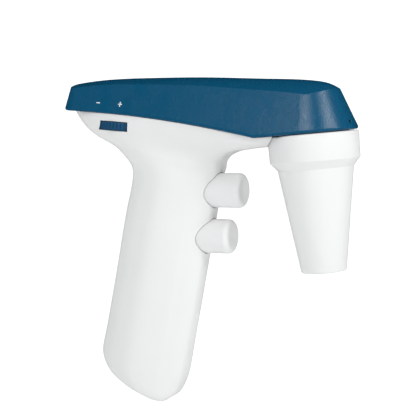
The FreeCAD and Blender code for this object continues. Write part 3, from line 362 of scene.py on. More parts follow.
# %% [markdown]
# Drawn wire, turned rods and plated cans carry fine lines along the way they were worked. A Noise
# texture that is squeezed hard across the lines and hardly at all along them gives such a finish.

# %% Worked metal
def metal_lines_group():
    inputs = [("Vector", VECTOR, None), ("Across", VECTOR, (1, 1, 1)), ("Size", FLOAT, 0.0002)]
    group, start, end = new_group("metal_lines", inputs, [("Height", FLOAT), ("Tone", FLOAT)])
    squeeze = group.nodes.new("ShaderNodeVectorMath")
    squeeze.operation = "MULTIPLY"
    group.links.new(start.outputs["Vector"], squeeze.inputs[0])
    group.links.new(start.outputs["Across"], squeeze.inputs[1])
    noise = group.nodes.new("ShaderNodeTexNoise")
    noise.inputs["Detail"].default_value = 2.0
    group.links.new(squeeze.outputs["Vector"], noise.inputs["Vector"])
    group.links.new(sum_node(group, "DIVIDE", 1.0, start.outputs["Size"]), noise.inputs["Scale"])
    group.links.new(noise.outputs["Fac"], end.inputs["Height"])
    group.links.new(spread(group, noise.outputs["Fac"], 0.3, 0.7, 0.0, 1.0), end.inputs["Tone"])
    return group


METAL_LINES = metal_lines_group()
print("group", METAL_LINES.name)

# %% [markdown]
# ## One recipe for plastics, one for metals
# Most of the tool is moulded plastic. They differ in colour, gloss and grain, so one function
# builds them all: it mixes two near colours by the grain and the handling mask, paints the edges
# lighter as wear and as a painted highlight, and sends the grain to a Bump node whose normal comes
# from the rounded edge. Values that are the same all over go straight on the shader's own sockets.

# %% Plastics
def placed_group(tree, group, **values):
    """A node group placed in a material, with its inputs set."""
    made = tree.nodes.new("ShaderNodeGroup")
    made.node_tree = group
    for socket, value in values.items():
        if isinstance(value, bpy.types.NodeSocket):
            tree.links.new(value, made.inputs[socket])
        else:
            made.inputs[socket].default_value = value
    return made


def mixed(tree, factor, first, second):
    """A colour between two; each is a colour or another node's socket."""
    made = tree.nodes.new("ShaderNodeMix")
    made.data_type = "RGBA"
    tree.links.new(factor, made.inputs["Factor"])
    for socket, value in ((made.inputs[6], first), (made.inputs[7], second)):
        if isinstance(value, bpy.types.NodeSocket):
            tree.links.new(value, socket)
        else:
            socket.default_value = (*value, 1)
    return made.outputs[2]


def blank_material(name, **settings):
    """A material with one shader, whose even settings sit on its own sockets."""
    material = bpy.data.materials.new(name)
    material.use_nodes = True
    tree = material.node_tree
    shader = tree.nodes["Principled BSDF"]
    for socket, value in settings.items():
        shader.inputs[socket.replace("_", " ")].default_value = value
    coordinates = tree.nodes.new("ShaderNodeTexCoord").outputs["Object"]
    return material, tree, shader, coordinates


def shade(colour, factor):
    """The same colour, lighter or darker."""
    return tuple(min(channel * factor, 1.0) for channel in colour)


def plastic(name, colour, gloss=0.4, grain=0.0004, depth=0.00002, edge=0.0003, edge_wear_highlight_amount=0.12, speckle=0.05,
            **settings):
    """Moulded plastic or rubber. gloss is its roughness, grain and edge are in metres."""
    material, tree, shader, place = blank_material(name, **settings)
    texture = placed_group(tree, MOULD_GRAIN, Vector=place, Size=grain)
    hands = placed_group(tree, HANDLING, Vector=place, Patch=0.021)
    edge_wear_highlight = placed_group(tree, ROUNDED_EDGE_WEAR_HIGHLIGHT, Radius=edge)
    body = mixed(tree, texture.outputs["Speckle"], shade(colour, 1 - speckle), shade(colour, 1 + speckle))
    aged = mixed(tree, sum_node(tree, "MULTIPLY", hands.outputs["Cloud"], 0.3), body, shade(colour, 0.94))
    # The edges are painted a paler colour, partly as rubbed wear and partly as a painted highlight.
    worn_highlit_edge_colour = tuple(channel + (1 - channel) * edge_wear_highlight_amount for channel in colour)
    tree.links.new(mixed(tree, edge_wear_highlight.outputs["Edge"], aged, worn_highlit_edge_colour), shader.inputs["Base Color"])
    polish = sum_node(tree, "MULTIPLY", hands.outputs["Polish"], 0.16)
    tree.links.new(sum_node(tree, "SUBTRACT", gloss, polish), shader.inputs["Roughness"])
    bump = tree.nodes.new("ShaderNodeBump")
    bump.inputs["Strength"].default_value = 1.0
    bump.inputs["Distance"].default_value = depth
    tree.links.new(texture.outputs["Height"], bump.inputs["Height"])
    tree.links.new(edge_wear_highlight.outputs["Normal"], bump.inputs["Normal"])
    tree.links.new(bump.outputs["Normal"], shader.inputs["Normal"])
    return material


def metal(name, colour, gloss=0.3, across=(1, 1, 1), size=0.0002, depth=0.000004, edge=0.0002, **settings):
    """Bare or plated metal, with fine lines squeezed by the numbers in across."""
    material, tree, shader, place = blank_material(name, Metallic=1.0, **settings)
    lines = placed_group(tree, METAL_LINES, Vector=place, Across=across, Size=size)
    hands = placed_group(tree, HANDLING, Vector=place, Patch=0.008)
    edge_wear_highlight = placed_group(tree, ROUNDED_EDGE_WEAR_HIGHLIGHT, Radius=edge)
    body = mixed(tree, lines.outputs["Tone"], shade(colour, 0.9), shade(colour, 1.05))
    # The edges are painted brighter, partly as worn, polished metal and partly as a painted highlight.
    tree.links.new(mixed(tree, edge_wear_highlight.outputs["Edge"], body, shade(colour, 1.2)), shader.inputs["Base Color"])
    dull = sum_node(tree, "MULTIPLY", hands.outputs["Cloud"], 0.15)
    tree.links.new(sum_node(tree, "ADD", gloss, dull), shader.inputs["Roughness"])
    bump = tree.nodes.new("ShaderNodeBump")
    bump.inputs["Distance"].default_value = depth
    tree.links.new(lines.outputs["Height"], bump.inputs["Height"])
    tree.links.new(edge_wear_highlight.outputs["Normal"], bump.inputs["Normal"])
    tree.links.new(bump.outputs["Normal"], shader.inputs["Normal"])
    return material


print("recipes ready")

# %% [markdown]
# ## The finishes
# The names are the material slots of the CAD record. The cover's satin blue is deep and a little
# grey where light grazes it. The shells, buttons and nose are the same neutral white, with the
# finest grain, and the buttons are a shade glossier. The inner pieces follow what such parts are
# made of: acetal for sliding parts, silicone for seals, plated steel, brass and a green board.

# %% The finishes
finishes = {
    "cover_blue": plastic("cover_blue", (0.0004, 0.078, 0.166), gloss=0.28, grain=0.0005, depth=0.00007,
                          edge=0.0003, edge_wear_highlight_amount=0.02, speckle=0.14),
    "wheel_blue": plastic("wheel_blue", (0.0015, 0.066, 0.16), gloss=0.45, grain=0.0003, edge=0.00015),
    "shell_white": plastic("shell_white", (0.80, 0.805, 0.80), gloss=0.46, grain=0.00035, depth=0.000014,
                           edge=0.0004, edge_wear_highlight_amount=0.3, speckle=0.008),
    "button_white": plastic("button_white", (0.81, 0.812, 0.81), gloss=0.36, grain=0.0003, depth=0.000008,
                            edge=0.0002, edge_wear_highlight_amount=0.3, speckle=0.006),
    "lamp_green": plastic("lamp_green", (0.2, 0.75, 0.3), gloss=0.2, grain=0.001, Transmission_Weight=0.5),
    "board_green": plastic("board_green", (0.01, 0.16, 0.06), gloss=0.35, grain=0.0008, edge_wear_highlight_amount=0.2),
    "seal_rubber": plastic("seal_rubber", (0.02, 0.02, 0.022), gloss=0.6, grain=0.0002),
    "switch_black": plastic("switch_black", (0.018, 0.018, 0.02), gloss=0.4, grain=0.0004),
    "acetal": plastic("acetal", (0.72, 0.72, 0.68), gloss=0.38, grain=0.0009, Subsurface_Weight=0.05),
    "plug_white": plastic("plug_white", (0.75, 0.73, 0.66), gloss=0.4, grain=0.0005),
    "diaphragm_rubber": plastic("diaphragm_rubber", (0.05, 0.05, 0.055), gloss=0.65, grain=0.0002),
    "battery_wrap": plastic("battery_wrap", (0.35, 0.4, 0.42), gloss=0.22, grain=0.002, edge_wear_highlight_amount=0.3),
    "foam": plastic("foam", (0.05, 0.05, 0.055), gloss=0.9, grain=0.0006, depth=0.0003),
    "adapter_silicone": plastic("adapter_silicone", (0.45, 0.47, 0.49), gloss=0.5, grain=0.0004,
                                Subsurface_Weight=0.1),
    "tube_silicone": plastic("tube_silicone", (0.7, 0.7, 0.68), gloss=0.35, grain=0.001,
                             Transmission_Weight=0.4),
    "membrane": plastic("membrane", (0.82, 0.82, 0.8), gloss=0.8, grain=0.00015, depth=0.00004),
    "socket_grey": plastic("socket_grey", (0.5, 0.5, 0.51), gloss=0.45, grain=0.0004),
    "spring_steel": metal("spring_steel", (0.55, 0.55, 0.57), gloss=0.25, size=0.0003),
    "turned_steel": metal("turned_steel", (0.6, 0.6, 0.61), gloss=0.22, across=(1.0, 0.15, 0.15)),
    "motor_can": metal("motor_can", (0.5, 0.51, 0.53), gloss=0.3, across=(0.1, 1.0, 1.0)),
    "brass_hub": metal("brass_hub", (0.75, 0.55, 0.25), gloss=0.28, across=(1.0, 0.1, 0.1)),
    "port_steel": metal("port_steel", (0.58, 0.58, 0.6), gloss=0.28),
    "screw_steel": metal("screw_steel", (0.5, 0.5, 0.52), gloss=0.3),
}
print(len(finishes), "finishes so far")

# %% [markdown]
# Two pieces are clear: the light window in the ridge and the filter's housing. Clear plastic is
# mostly transmission. Its colour is a pale tint, mixed by the same grain, and the mould's flow
# shows as faint ripples in its roughness.

# %% Clear plastics
def clear_plastic(name, tint, gloss):
    material, tree, shader, place = blank_material(name, Transmission_Weight=1.0, IOR=1.49)
    texture = placed_group(tree, MOULD_GRAIN, Vector=place, Size=0.0015)
    hands = placed_group(tree, HANDLING, Vector=place, Patch=0.01)
    edge_wear_highlight = placed_group(tree, ROUNDED_EDGE_WEAR_HIGHLIGHT, Radius=0.0002)
    body = mixed(tree, texture.outputs["Speckle"], shade(tint, 0.97), tint)
    # The edges are painted white, partly as scuffed wear and partly as a painted highlight.
    tree.links.new(mixed(tree, edge_wear_highlight.outputs["Edge"], body, (1, 1, 1)), shader.inputs["Base Color"])
    ripple = sum_node(tree, "MULTIPLY", hands.outputs["Cloud"], 0.08)
    tree.links.new(sum_node(tree, "ADD", gloss, ripple), shader.inputs["Roughness"])
    tree.links.new(edge_wear_highlight.outputs["Normal"], shader.inputs["Normal"])
    return material


finishes["lens_clear"] = clear_plastic("lens_clear", (0.82, 0.86, 0.88), 0.12)
finishes["filter_clear"] = clear_plastic("filter_clear", (0.92, 0.95, 0.96), 0.10)
print("clear:", finishes["lens_clear"].name, finishes["filter_clear"].name)

# %% [markdown]
# The floor is pale matt paper that glows a little, as paper lit from all round does. Where the
# camera looks straight at it, it is lifted further by a second shader, so that it meets the white
# behind the tool without a line; the light it throws back on the tool stays as it was.

# %% The floor's paper
material, tree, shader, place = blank_material("studio_paper", Roughness=0.9)
texture = placed_group(tree, MOULD_GRAIN, Vector=place, Size=0.002)
tree.links.new(mixed(tree, texture.outputs["Speckle"], (0.9, 0.9, 0.9), (0.93, 0.93, 0.93)),
               shader.inputs["Base Color"])
shader.inputs["Emission Color"].default_value = (1, 1, 1, 1)
shader.inputs["Emission Strength"].default_value = 0.3
seen = tree.nodes.new("ShaderNodeLightPath")
lift = tree.nodes.new("ShaderNodeEmission")
lift.inputs["Color"].default_value = (1, 1, 1, 1)
nothing = tree.nodes.new("ShaderNodeEmission")
nothing.inputs["Strength"].default_value = 0.0
when_seen = tree.nodes.new("ShaderNodeMixShader")
tree.links.new(seen.outputs["Is Camera Ray"], when_seen.inputs["Fac"])
tree.links.new(nothing.outputs["Emission"], when_seen.inputs[1])
tree.links.new(lift.outputs["Emission"], when_seen.inputs[2])
lift.inputs["Strength"].default_value = 0.35
lifted = tree.nodes.new("ShaderNodeAddShader")
tree.links.new(shader.outputs["BSDF"], lifted.inputs[0])
tree.links.new(when_seen.outputs["Shader"], lifted.inputs[1])
unless_mirrored = tree.nodes.new("ShaderNodeMixShader")
tree.links.new(seen.outputs["Is Glossy Ray"], unless_mirrored.inputs["Fac"])
tree.links.new(lifted.outputs["Shader"], unless_mirrored.inputs[1])
tree.links.new(nothing.outputs["Emission"], unless_mirrored.inputs[2])
tree.links.new(unless_mirrored.outputs["Shader"], tree.nodes["Material Output"].inputs["Surface"])
floor.data.materials.append(material)
print("paper on", floor.name)

# %% [markdown]
# ## Dress the frame
# Every CAD piece takes the finish of its slot. Only the material slot changes; the mesh is left
# exactly as it came.

# %% Dress the frame
for part in record["subparts"]:
    node = nodes[part["node"]]
    node.data.materials.clear()
    node.data.materials.append(finishes[part["material_slot"]])
print("dressed", len(record["subparts"]), "pieces")

# %% [markdown]
# ## Measuring a turned piece
# Several pieces are round about a tilted axis. To model one in place, turn the axes so that Z
# runs along it, and look at the CAD piece's extent in those axes: the middle of its width lies on
# the axis. The result is a matrix for the place, and the piece's length and radius.

# %% Measure along an axis
def along(node, axis):
    """Place, length and radius of a round CAD piece whose axis lies in the XZ plane."""
    upright = Vector(axis).normalized()
    turn = Matrix((Vector((0, 1, 0)).cross(upright), Vector((0, 1, 0)), upright)).transposed()
    local = turn.transposed()
    points = [local @ corner.co for corner in nodes[node].data.vertices]
    low = [min(point[number] for point in points) for number in range(3)]
    high = [max(point[number] for point in points) for number in range(3)]
    foot = turn @ Vector(((low[0] + high[0]) / 2, (low[1] + high[1]) / 2, low[2]))
    return Matrix.Translation(foot) @ turn.to_4x4(), high[2] - low[2], (high[0] - low[0]) / 2


press = -Vector(joints["aspirate_press"]["axis"])
wheel_axis = Vector(joints["speed_turn"]["axis"])
place, length, radius = along("aspirate_button", press)
print("button:", round(length / MM, 2), "mm long, radius", round(radius / MM, 2), "mm")

# %% [markdown]
# A finished piece keeps its object at the origin and its place in its mesh, as the CAD pieces do.
# This helper does that, gives the piece its finish, and lets it ride on a body.

# %% Finish a piece
def finished(piece, name, slot, body, place=Matrix.Identity(4)):
    """Name a piece, move its place into its mesh, give it its finish and a body to ride on."""
    select_nothing()
    piece.name = name
    piece.data.name = name
    piece.data.transform(place @ piece.matrix_world)
    piece.matrix_world = Matrix.Identity(4)
    piece.data.materials.clear()
    piece.data.materials.append(finishes[slot])
    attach(piece, body)
    return piece


def apply_modifiers(piece):
    take(piece)
    for modifier in list(piece.modifiers):
        bpy.ops.object.modifier_apply(modifier=modifier.name)


def outward(piece):
    """Merge doubled points and turn every face outwards."""
    take(piece)
    bpy.ops.object.mode_set(mode="EDIT")
    bpy.ops.mesh.select_all(action="SELECT")
    bpy.ops.mesh.remove_doubles(threshold=0.000002)
    bpy.ops.mesh.normals_make_consistent(inside=False)
    bpy.ops.object.mode_set(mode="OBJECT")


print("helpers ready")

# %% [markdown]
# ## The return springs
# Behind each button a coil spring pushes it out again. In the frame it is only the sleeve of
# space that the coil fills. A coil is one small circle carried round an axis while it climbs,
# which is just what the Screw modifier does: the circle is the wire, its distance from the axis
# the coil's radius, and the rise per turn the pitch. The wire's ends are capped.

# %% The return springs
WIRE_RADIUS = 0.45 * MM
FREE_TURNS = 6
STEPS_PER_TURN = 36


def coil(radius, height, turns):
    """A coil of wire about the Z axis, from level 0 up to the height."""
    select_nothing()
    bpy.ops.mesh.primitive_circle_add(vertices=10, radius=WIRE_RADIUS, location=(radius, 0, WIRE_RADIUS),
                                      rotation=(math.pi / 2, 0, 0))
    wire = bpy.context.object
    bpy.ops.object.transform_apply(location=True, rotation=True, scale=True)
    screw = wire.modifiers.new("climb", "SCREW")
    screw.axis = "Z"
    screw.angle = 2 * math.pi * turns
    screw.screw_offset = height - 2 * WIRE_RADIUS
    screw.steps = screw.render_steps = int(STEPS_PER_TURN * turns)
    apply_modifiers(wire)
    bpy.ops.object.mode_set(mode="EDIT")
    bpy.ops.mesh.select_mode(type="EDGE")
    bpy.ops.mesh.select_all(action="DESELECT")
    bpy.ops.mesh.select_non_manifold(extend=False, use_wire=False, use_boundary=True,
                                     use_multi_face=False, use_non_contiguous=False, use_verts=False)
    bpy.ops.mesh.fill_holes(sides=0)
    bpy.ops.object.mode_set(mode="OBJECT")
    outward(wire)
    return wire


for name in ("aspirate", "dispense"):
    node = name + "_spring"
    place, length, radius = along(node, press)
    spring = coil(radius - WIRE_RADIUS, length, FREE_TURNS)
    finished(spring, name + "_coil", "spring_steel", "housing", place)
    take(spring)
    bpy.ops.object.shade_smooth()
    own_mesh(spring)
    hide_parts(node)
    print(spring.name, len(spring.data.polygons), "faces")

# %% [markdown]
# ## The speed wheel
# The wheel's edge has 58 soft ribs, which a thumb turns through the windows on both sides. It is
# drawn ring by ring: a circle is extruded up for the edge, drawn in for the top, down the bore
# and back along the bottom. The circle has four points for each rib, and moving two of every four
# inwards makes the grooves. A small bevel then rounds each rib, as a mould would leave it.

# %% Ring by ring
def ring_by_ring(profile, segments):
    """A closed turned shape: a circle drawn through each (radius, level) of the profile and back."""
    radius, level = profile[0]
    select_nothing()
    bpy.ops.mesh.primitive_circle_add(vertices=segments, radius=radius, location=(0, 0, level))
    piece = bpy.context.object
    bpy.ops.object.transform_apply(location=True, rotation=True, scale=True)
    bpy.ops.object.mode_set(mode="EDIT")
    bpy.ops.mesh.select_all(action="SELECT")
    for next_radius, next_level in profile[1:] + profile[:1]:
        bpy.ops.mesh.extrude_region_move(TRANSFORM_OT_translate={"value": (0, 0, next_level - level)})
        factor = next_radius / radius
        bpy.ops.transform.resize(value=(factor, factor, 1), center_override=(0, 0, next_level))
        radius, level = next_radius, next_level
    bpy.ops.object.mode_set(mode="OBJECT")
    outward(piece)
    return piece


RIBS = 58
RIB_DEPTH = 0.42 * MM
RIB_ROUND = 0.09 * MM
RIM_WIDTH = 2.4 * MM
RIM_CHAMFER = 0.3 * MM
HUB_WALL = 1.9 * MM
SHAFT_GAP = 0.05 * MM
WHEEL_DISH = 0.5 * MM
place, length, radius = along("speed_wheel", wheel_axis)
bore = along("wheel_shaft", wheel_axis)[2] + SHAFT_GAP
rim = radius - RIM_WIDTH
hub = bore + HUB_WALL
edge = radius - RIM_CHAMFER
wheel = ring_by_ring([(radius, RIM_CHAMFER), (radius, length - RIM_CHAMFER), (edge, length),
                      (rim, length), (rim - WHEEL_DISH, length - WHEEL_DISH),
                      (hub + WHEEL_DISH, length - WHEEL_DISH), (hub, length), (bore, length),
                      (bore, 0.0), (hub, 0.0), (hub + WHEEL_DISH, WHEEL_DISH),
                      (rim - WHEEL_DISH, WHEEL_DISH), (rim, 0.0), (edge, 0.0)], 4 * RIBS)
bpy.ops.object.mode_set(mode="EDIT")
bpy.ops.mesh.select_mode(type="VERT")
bpy.ops.mesh.select_all(action="DESELECT")
shape = bmesh.from_edit_mesh(wheel.data)
for corner in shape.verts:
    step = round(math.atan2(corner.co.y, corner.co.x) / (2 * math.pi) * 4 * RIBS)
    corner.select = corner.co.xy.length > radius - 0.5 * MM and step % 4 < 2
bmesh.update_edit_mesh(wheel.data)
factor = (radius - RIB_DEPTH) / radius
bpy.ops.transform.resize(value=(factor, factor, 1), center_override=(0, 0, 0))
bpy.ops.object.mode_set(mode="OBJECT")
soften = wheel.modifiers.new("soften", "BEVEL")
soften.width = RIB_ROUND
soften.segments = 2
soften.limit_method = "ANGLE"
soften.angle_limit = math.radians(24)
apply_modifiers(wheel)
finished(wheel, "ribbed_wheel", "wheel_blue", "speed_wheel", place)
take(wheel)
bpy.ops.object.shade_smooth_by_angle(angle=math.radians(35))
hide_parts("speed_wheel")
print(wheel.name, len(wheel.data.polygons), "faces")

# %% [markdown]
# ## The marks for slower and faster
# A short bar and a cross are printed on both sides of the cover above the wheel. Each stroke is a
# thin bevelled slab. A ray sent at the cover from the side finds where its wall is and which way
# it faces, so the slabs can lie flat on the wall and stand a twentieth of a millimetre proud. They
# run level with the wheel, which lies a little nose-down in the tool.

# %% The marks
MARK_THICKNESS = 0.12 * MM
MARK_PROUD = 0.05 * MM
STROKE = 0.52 * MM
BAR_LENGTH = 2.0 * MM
CROSS_LENGTH = 2.1 * MM
CROSS_HEIGHT = 2.5 * MM
SLOWER_AT = Vector((-8.6 * MM, 0.0, 12.2 * MM))
FASTER_AT = Vector((3.7 * MM, 0.0, 10.3 * MM))
finishes["mark_white"] = plastic("mark_white", (0.86, 0.87, 0.88), gloss=0.5, grain=0.0002,
                                 depth=0.000004, edge=0.0001, edge_wear_highlight_amount=0.0, speckle=0.02)


def wall_place(spot, side):
    """Place on the cover's wall, with Z out of it and X level with the wheel."""
    origin = Vector((spot.x, side * 0.1, spot.z))
    point, normal = nodes["top_cover"].ray_cast(origin, Vector((0, -side, 0)))[1:3]
    level = Vector((0, 1, 0)).cross(wheel_axis)
    ahead = (level - normal * normal.dot(level)).normalized()
    turn = Matrix((ahead, normal.cross(ahead), normal)).transposed()
    return Matrix.Translation(point) @ turn.to_4x4()


def stroke(length, width, turn):
    """One printed stroke, a thin slab with rounded corners, lying in the XY plane."""
    select_nothing()
    bpy.ops.mesh.primitive_cube_add(size=1.0)
    slab = bpy.context.object
    slab.scale = (length, width, MARK_THICKNESS)
    slab.location = (0, 0, MARK_PROUD - MARK_THICKNESS / 2)
    slab.rotation_euler = (0, 0, turn)
    bpy.ops.object.transform_apply(location=True, rotation=True, scale=True)
    bpy.ops.object.mode_set(mode="EDIT")
    bpy.ops.mesh.select_mode(type="EDGE")
    bpy.ops.mesh.select_all(action="DESELECT")
    shape = bmesh.from_edit_mesh(slab.data)
    for edge in shape.edges:
        edge.select = abs(edge.verts[0].co.z - edge.verts[1].co.z) > MARK_THICKNESS / 2
    bmesh.update_edit_mesh(slab.data)
    bpy.ops.mesh.bevel(offset=width * 0.22, segments=3)
    bpy.ops.object.mode_set(mode="OBJECT")
    return slab


def join_pieces(pieces):
    """Several pieces made one object; the first keeps its name."""
    select_nothing()
    for piece in pieces:
        piece.select_set(True)
    bpy.context.view_layer.objects.active = pieces[0]
    bpy.ops.object.join()
    return pieces[0]


wheel_middle = Vector(joints["speed_turn"]["pos_m"])
for side, side_name in ((-1, "right"), (1, "left")):
    bar = stroke(BAR_LENGTH, STROKE, 0.0)
    finished(bar, "slower_mark_" + side_name, "shell_white", "housing",
             wall_place(wheel_middle + SLOWER_AT, side))
    cross = join_pieces([stroke(CROSS_LENGTH, STROKE, 0.0), stroke(CROSS_HEIGHT, STROKE, math.pi / 2)])
    finished(cross, "faster_mark_" + side_name, "shell_white", "housing",
             wall_place(wheel_middle + FASTER_AT, side))
    for mark in (bar, cross):
        mark.data.materials.clear()
        mark.data.materials.append(finishes["mark_white"])
    print("marks on the", side_name)

# %% [markdown]
# ## The push buttons
# Each button is a hollow cap with a soft edge, a shallow dish for the fingertip, and a flange
# that keeps it in the handle. It is a turned shape, so it is drawn ring by ring again, but from
# one centre to the other: the first and last rings are small filled circles. The soft edge is a
# quarter of a circle in eight steps, and the dish follows a cosine, so that it meets the edge
# without a crease.

# %% From centre to centre
def centre_to_centre(profile, segments):
    """A turned shape drawn from one small filled circle to another."""
    radius, level = profile[0]
    select_nothing()
    bpy.ops.mesh.primitive_circle_add(vertices=segments, radius=radius, location=(0, 0, level),
                                      fill_type="NGON")
    piece = bpy.context.object
    bpy.ops.object.transform_apply(location=True, rotation=True, scale=True)
    bpy.ops.object.mode_set(mode="EDIT")
    bpy.ops.mesh.select_all(action="SELECT")
    for next_radius, next_level in profile[1:]:
        bpy.ops.mesh.extrude_region_move(TRANSFORM_OT_translate={"value": (0, 0, next_level - level)})
        factor = next_radius / radius
        bpy.ops.transform.resize(value=(factor, factor, 1), center_override=(0, 0, next_level))
        radius, level = next_radius, next_level
    bpy.ops.object.mode_set(mode="OBJECT")
    outward(piece)
    return piece


BUTTON_WALL = 1.7 * MM
BUTTON_TOP = 2.9 * MM
HOLLOW_CHAMFER = 0.4 * MM
EDGE_ROUND = 2.3 * MM
EDGE_STEPS = 8
DISH_DEPTH = 1.0 * MM
DISH_STEPS = 10
FLANGE = 1.0 * MM
FLANGE_WIDTH = 1.2 * MM
FOOT_CHAMFER = 0.15 * MM
FLANGE_CHAMFER = 0.1 * MM
CENTRE = 0.2 * MM


def button_profile(length, flange_radius):
    """Rings from the middle of the hollow, round the flange and up to the middle of the dish."""
    radius = flange_radius - FLANGE_WIDTH
    hollow = radius - BUTTON_WALL
    ceiling = length - BUTTON_TOP
    rings = [(CENTRE, ceiling), (hollow - HOLLOW_CHAMFER, ceiling), (hollow, ceiling - HOLLOW_CHAMFER),
             (hollow, 0.0), (flange_radius - FOOT_CHAMFER, 0.0), (flange_radius, FOOT_CHAMFER),
             (flange_radius, FLANGE - FLANGE_CHAMFER), (flange_radius - FLANGE_CHAMFER, FLANGE),
             (radius, FLANGE), (radius, length - EDGE_ROUND)]
    for step in range(1, EDGE_STEPS + 1):
        turn = math.pi / 2 * step / EDGE_STEPS
        rings.append((radius - EDGE_ROUND * (1 - math.cos(turn)),
                      length - EDGE_ROUND * (1 - math.sin(turn))))
    edge_radius = radius - EDGE_ROUND
    for step in range(1, DISH_STEPS + 1):
        share = 1 - step / DISH_STEPS
        ring_radius = max(edge_radius * share, CENTRE)
        rings.append((ring_radius, length - DISH_DEPTH * (1 + math.cos(math.pi * share)) / 2))
    return rings


for name in ("aspirate_button", "dispense_button"):
    place, length, flange_radius = along(name, press)
    cap = centre_to_centre(button_profile(length, flange_radius), 96)
    finished(cap, name + "_cap", "button_white", name, place)
    take(cap)
    bpy.ops.object.shade_smooth_by_angle(angle=math.radians(40))
    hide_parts(name)
    print(cap.name, len(cap.data.polygons), "faces,", round(length / MM, 1), "mm long")

# %% [markdown]
# ## The switch levers
# Beside each stem a small switch has a lever of spring steel, which the button's flange pushes
# flat. The lever is a strip of thin sheet with one soft wave along it. It is drawn as a flat
# grid whose points follow a cosine, and a Solidify modifier gives it the sheet's thickness.

# %% The switch levers
LEVER_LENGTH = 5.8 * MM
LEVER_WIDTH = 3.6 * MM
LEVER_WAVE = 0.35 * MM
LEVER_SHEET = 0.28 * MM
LEVER_LEAN = math.radians(-25)
for name in ("aspirate", "dispense"):
    node = name + "_switch_lever"
    low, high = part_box(node)
    middle = (low + high) / 2
    select_nothing()
    bpy.ops.mesh.primitive_grid_add(x_subdivisions=12, y_subdivisions=4, size=1.0)
    lever = bpy.context.object
    lever.scale = (LEVER_LENGTH, LEVER_WIDTH, 1)
    bpy.ops.object.transform_apply(location=True, rotation=True, scale=True)
    for point in lever.data.vertices:
        point.co.z = LEVER_WAVE * math.cos(2 * math.pi * point.co.x / LEVER_LENGTH)
    walls = lever.modifiers.new("sheet", "SOLIDIFY")
    walls.thickness = LEVER_SHEET
    walls.offset = 0.0
    apply_modifiers(lever)
    lean = Matrix.Rotation(LEVER_LEAN, 4, Vector((0, 0, 1)))
    upright = Matrix.Rotation(math.pi / 2, 4, Vector((1, 0, 0)))
    finished(lever, name + "_lever", "spring_steel", "housing",
             Matrix.Translation(middle) @ lean @ upright)
    take(lever)
    bpy.ops.object.shade_smooth_by_angle(angle=math.radians(40))
    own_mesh(lever)
    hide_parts(node)
    print(lever.name, len(lever.data.polygons), "faces")

# %% [markdown]
# ## The pump's diaphragm
# The diaphragm is a moulded rubber disc with one rolled fold and a short post in the middle, which
# the crank's bearing works up and down. The post stops below the bearing's lowest place, so the
# two stay clear of each other all the way round.

# %% The pump's diaphragm
POST_GAP = 0.15 * MM
place, length, radius = along("pump_diaphragm", Vector((0, 0, 1)))
crank_centre = joints["pump_spin"]["pos_m"][2]
bearing_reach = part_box("crank_bearing")[1].z - crank_centre
post_top = crank_centre - bearing_reach - POST_GAP - place.translation.z
skin = 1.2 * MM
diaphragm = centre_to_centre([
    (0.4 * MM, 0.0), (radius - 4.6 * MM, 0.0), (radius - 4.0 * MM, -0.5 * MM + skin / 2),
    (radius - 3.2 * MM, -0.5 * MM + skin / 2), (radius - 2.6 * MM, 0.0), (radius, 0.0),
    (radius, skin), (radius - 2.2 * MM, skin), (radius - 3.0 * MM, skin - 0.3 * MM),
    (radius - 4.2 * MM, skin - 0.3 * MM), (radius - 5.0 * MM, skin), (2.0 * MM, skin),
    (1.5 * MM, skin + 0.5 * MM), (1.5 * MM, post_top - 0.2 * MM), (1.3 * MM, post_top),
    (0.4 * MM, post_top)], 64)
finished(diaphragm, "rolled_diaphragm", "diaphragm_rubber", "housing", place)
take(diaphragm)
bpy.ops.object.shade_smooth_by_angle(angle=math.radians(40))
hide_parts("pump_diaphragm")
print(diaphragm.name, "post stops", round((post_top + place.translation.z) / MM, 2), "mm up")

# %% [markdown]
# ## The pipette adapter
# The silicone adapter grips the pipette's mouthpiece. Inside its bore are three soft lips, a
# fifth of a millimetre high, and its mouth is rounded, so that the pipette finds its way in. Its
# outside follows the nose cone. The rings run up the outside and back down the bore.

# %% The pipette adapter
BORE_RADIUS = record["mounts"][0]["dims"]["r_mm"] * MM
BORE_LENGTH = record["mounts"][0]["dims"]["length_mm"] * MM
LIP_HEIGHT = 0.2 * MM
LIP_LEVELS = (2.6 * MM, 6.2 * MM, 9.8 * MM)
THROAT_RADIUS = 2.0 * MM
CONE_SLOPE = 0.147
adapter_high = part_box("pipette_adapter")[1]
valve_low, valve_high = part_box("check_valve")
top_radius = adapter_high.x
valve_radius = valve_high.x + 0.1 * MM
seat = valve_low.z - 0.2 * MM
mouth_radius = top_radius - CONE_SLOPE * adapter_high.z
profile = [(BORE_RADIUS + 0.6 * MM, 0.0), (mouth_radius - 0.5 * MM, 0.0), (mouth_radius, 0.5 * MM),
           (top_radius, adapter_high.z), (valve_radius, adapter_high.z),
           (valve_radius, seat), (THROAT_RADIUS, seat), (THROAT_RADIUS, BORE_LENGTH),
           (BORE_RADIUS, BORE_LENGTH)]
for level in reversed(LIP_LEVELS):
    profile += [(BORE_RADIUS, level + 0.7 * MM), (BORE_RADIUS - LIP_HEIGHT, level + 0.15 * MM),
                (BORE_RADIUS - LIP_HEIGHT, level - 0.15 * MM), (BORE_RADIUS, level - 0.4 * MM)]
profile.append((BORE_RADIUS, 0.8 * MM))
adapter = ring_by_ring(profile, 96)
finished(adapter, "silicone_adapter", "adapter_silicone", "housing")
take(adapter)
bpy.ops.object.shade_smooth_by_angle(angle=math.radians(40))
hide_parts("pipette_adapter")
print(adapter.name, len(adapter.data.polygons), "faces")

# %% [markdown]
# ## The battery cell
# The cell is a steel can in a shrunk plastic wrap. The wrap is drawn in over the groove near the
# positive end and folds a little way over both ends, and the bare metal shows inside the folds.
# The rings give the shape, and the faces well inside the rim take the metal instead of the wrap.

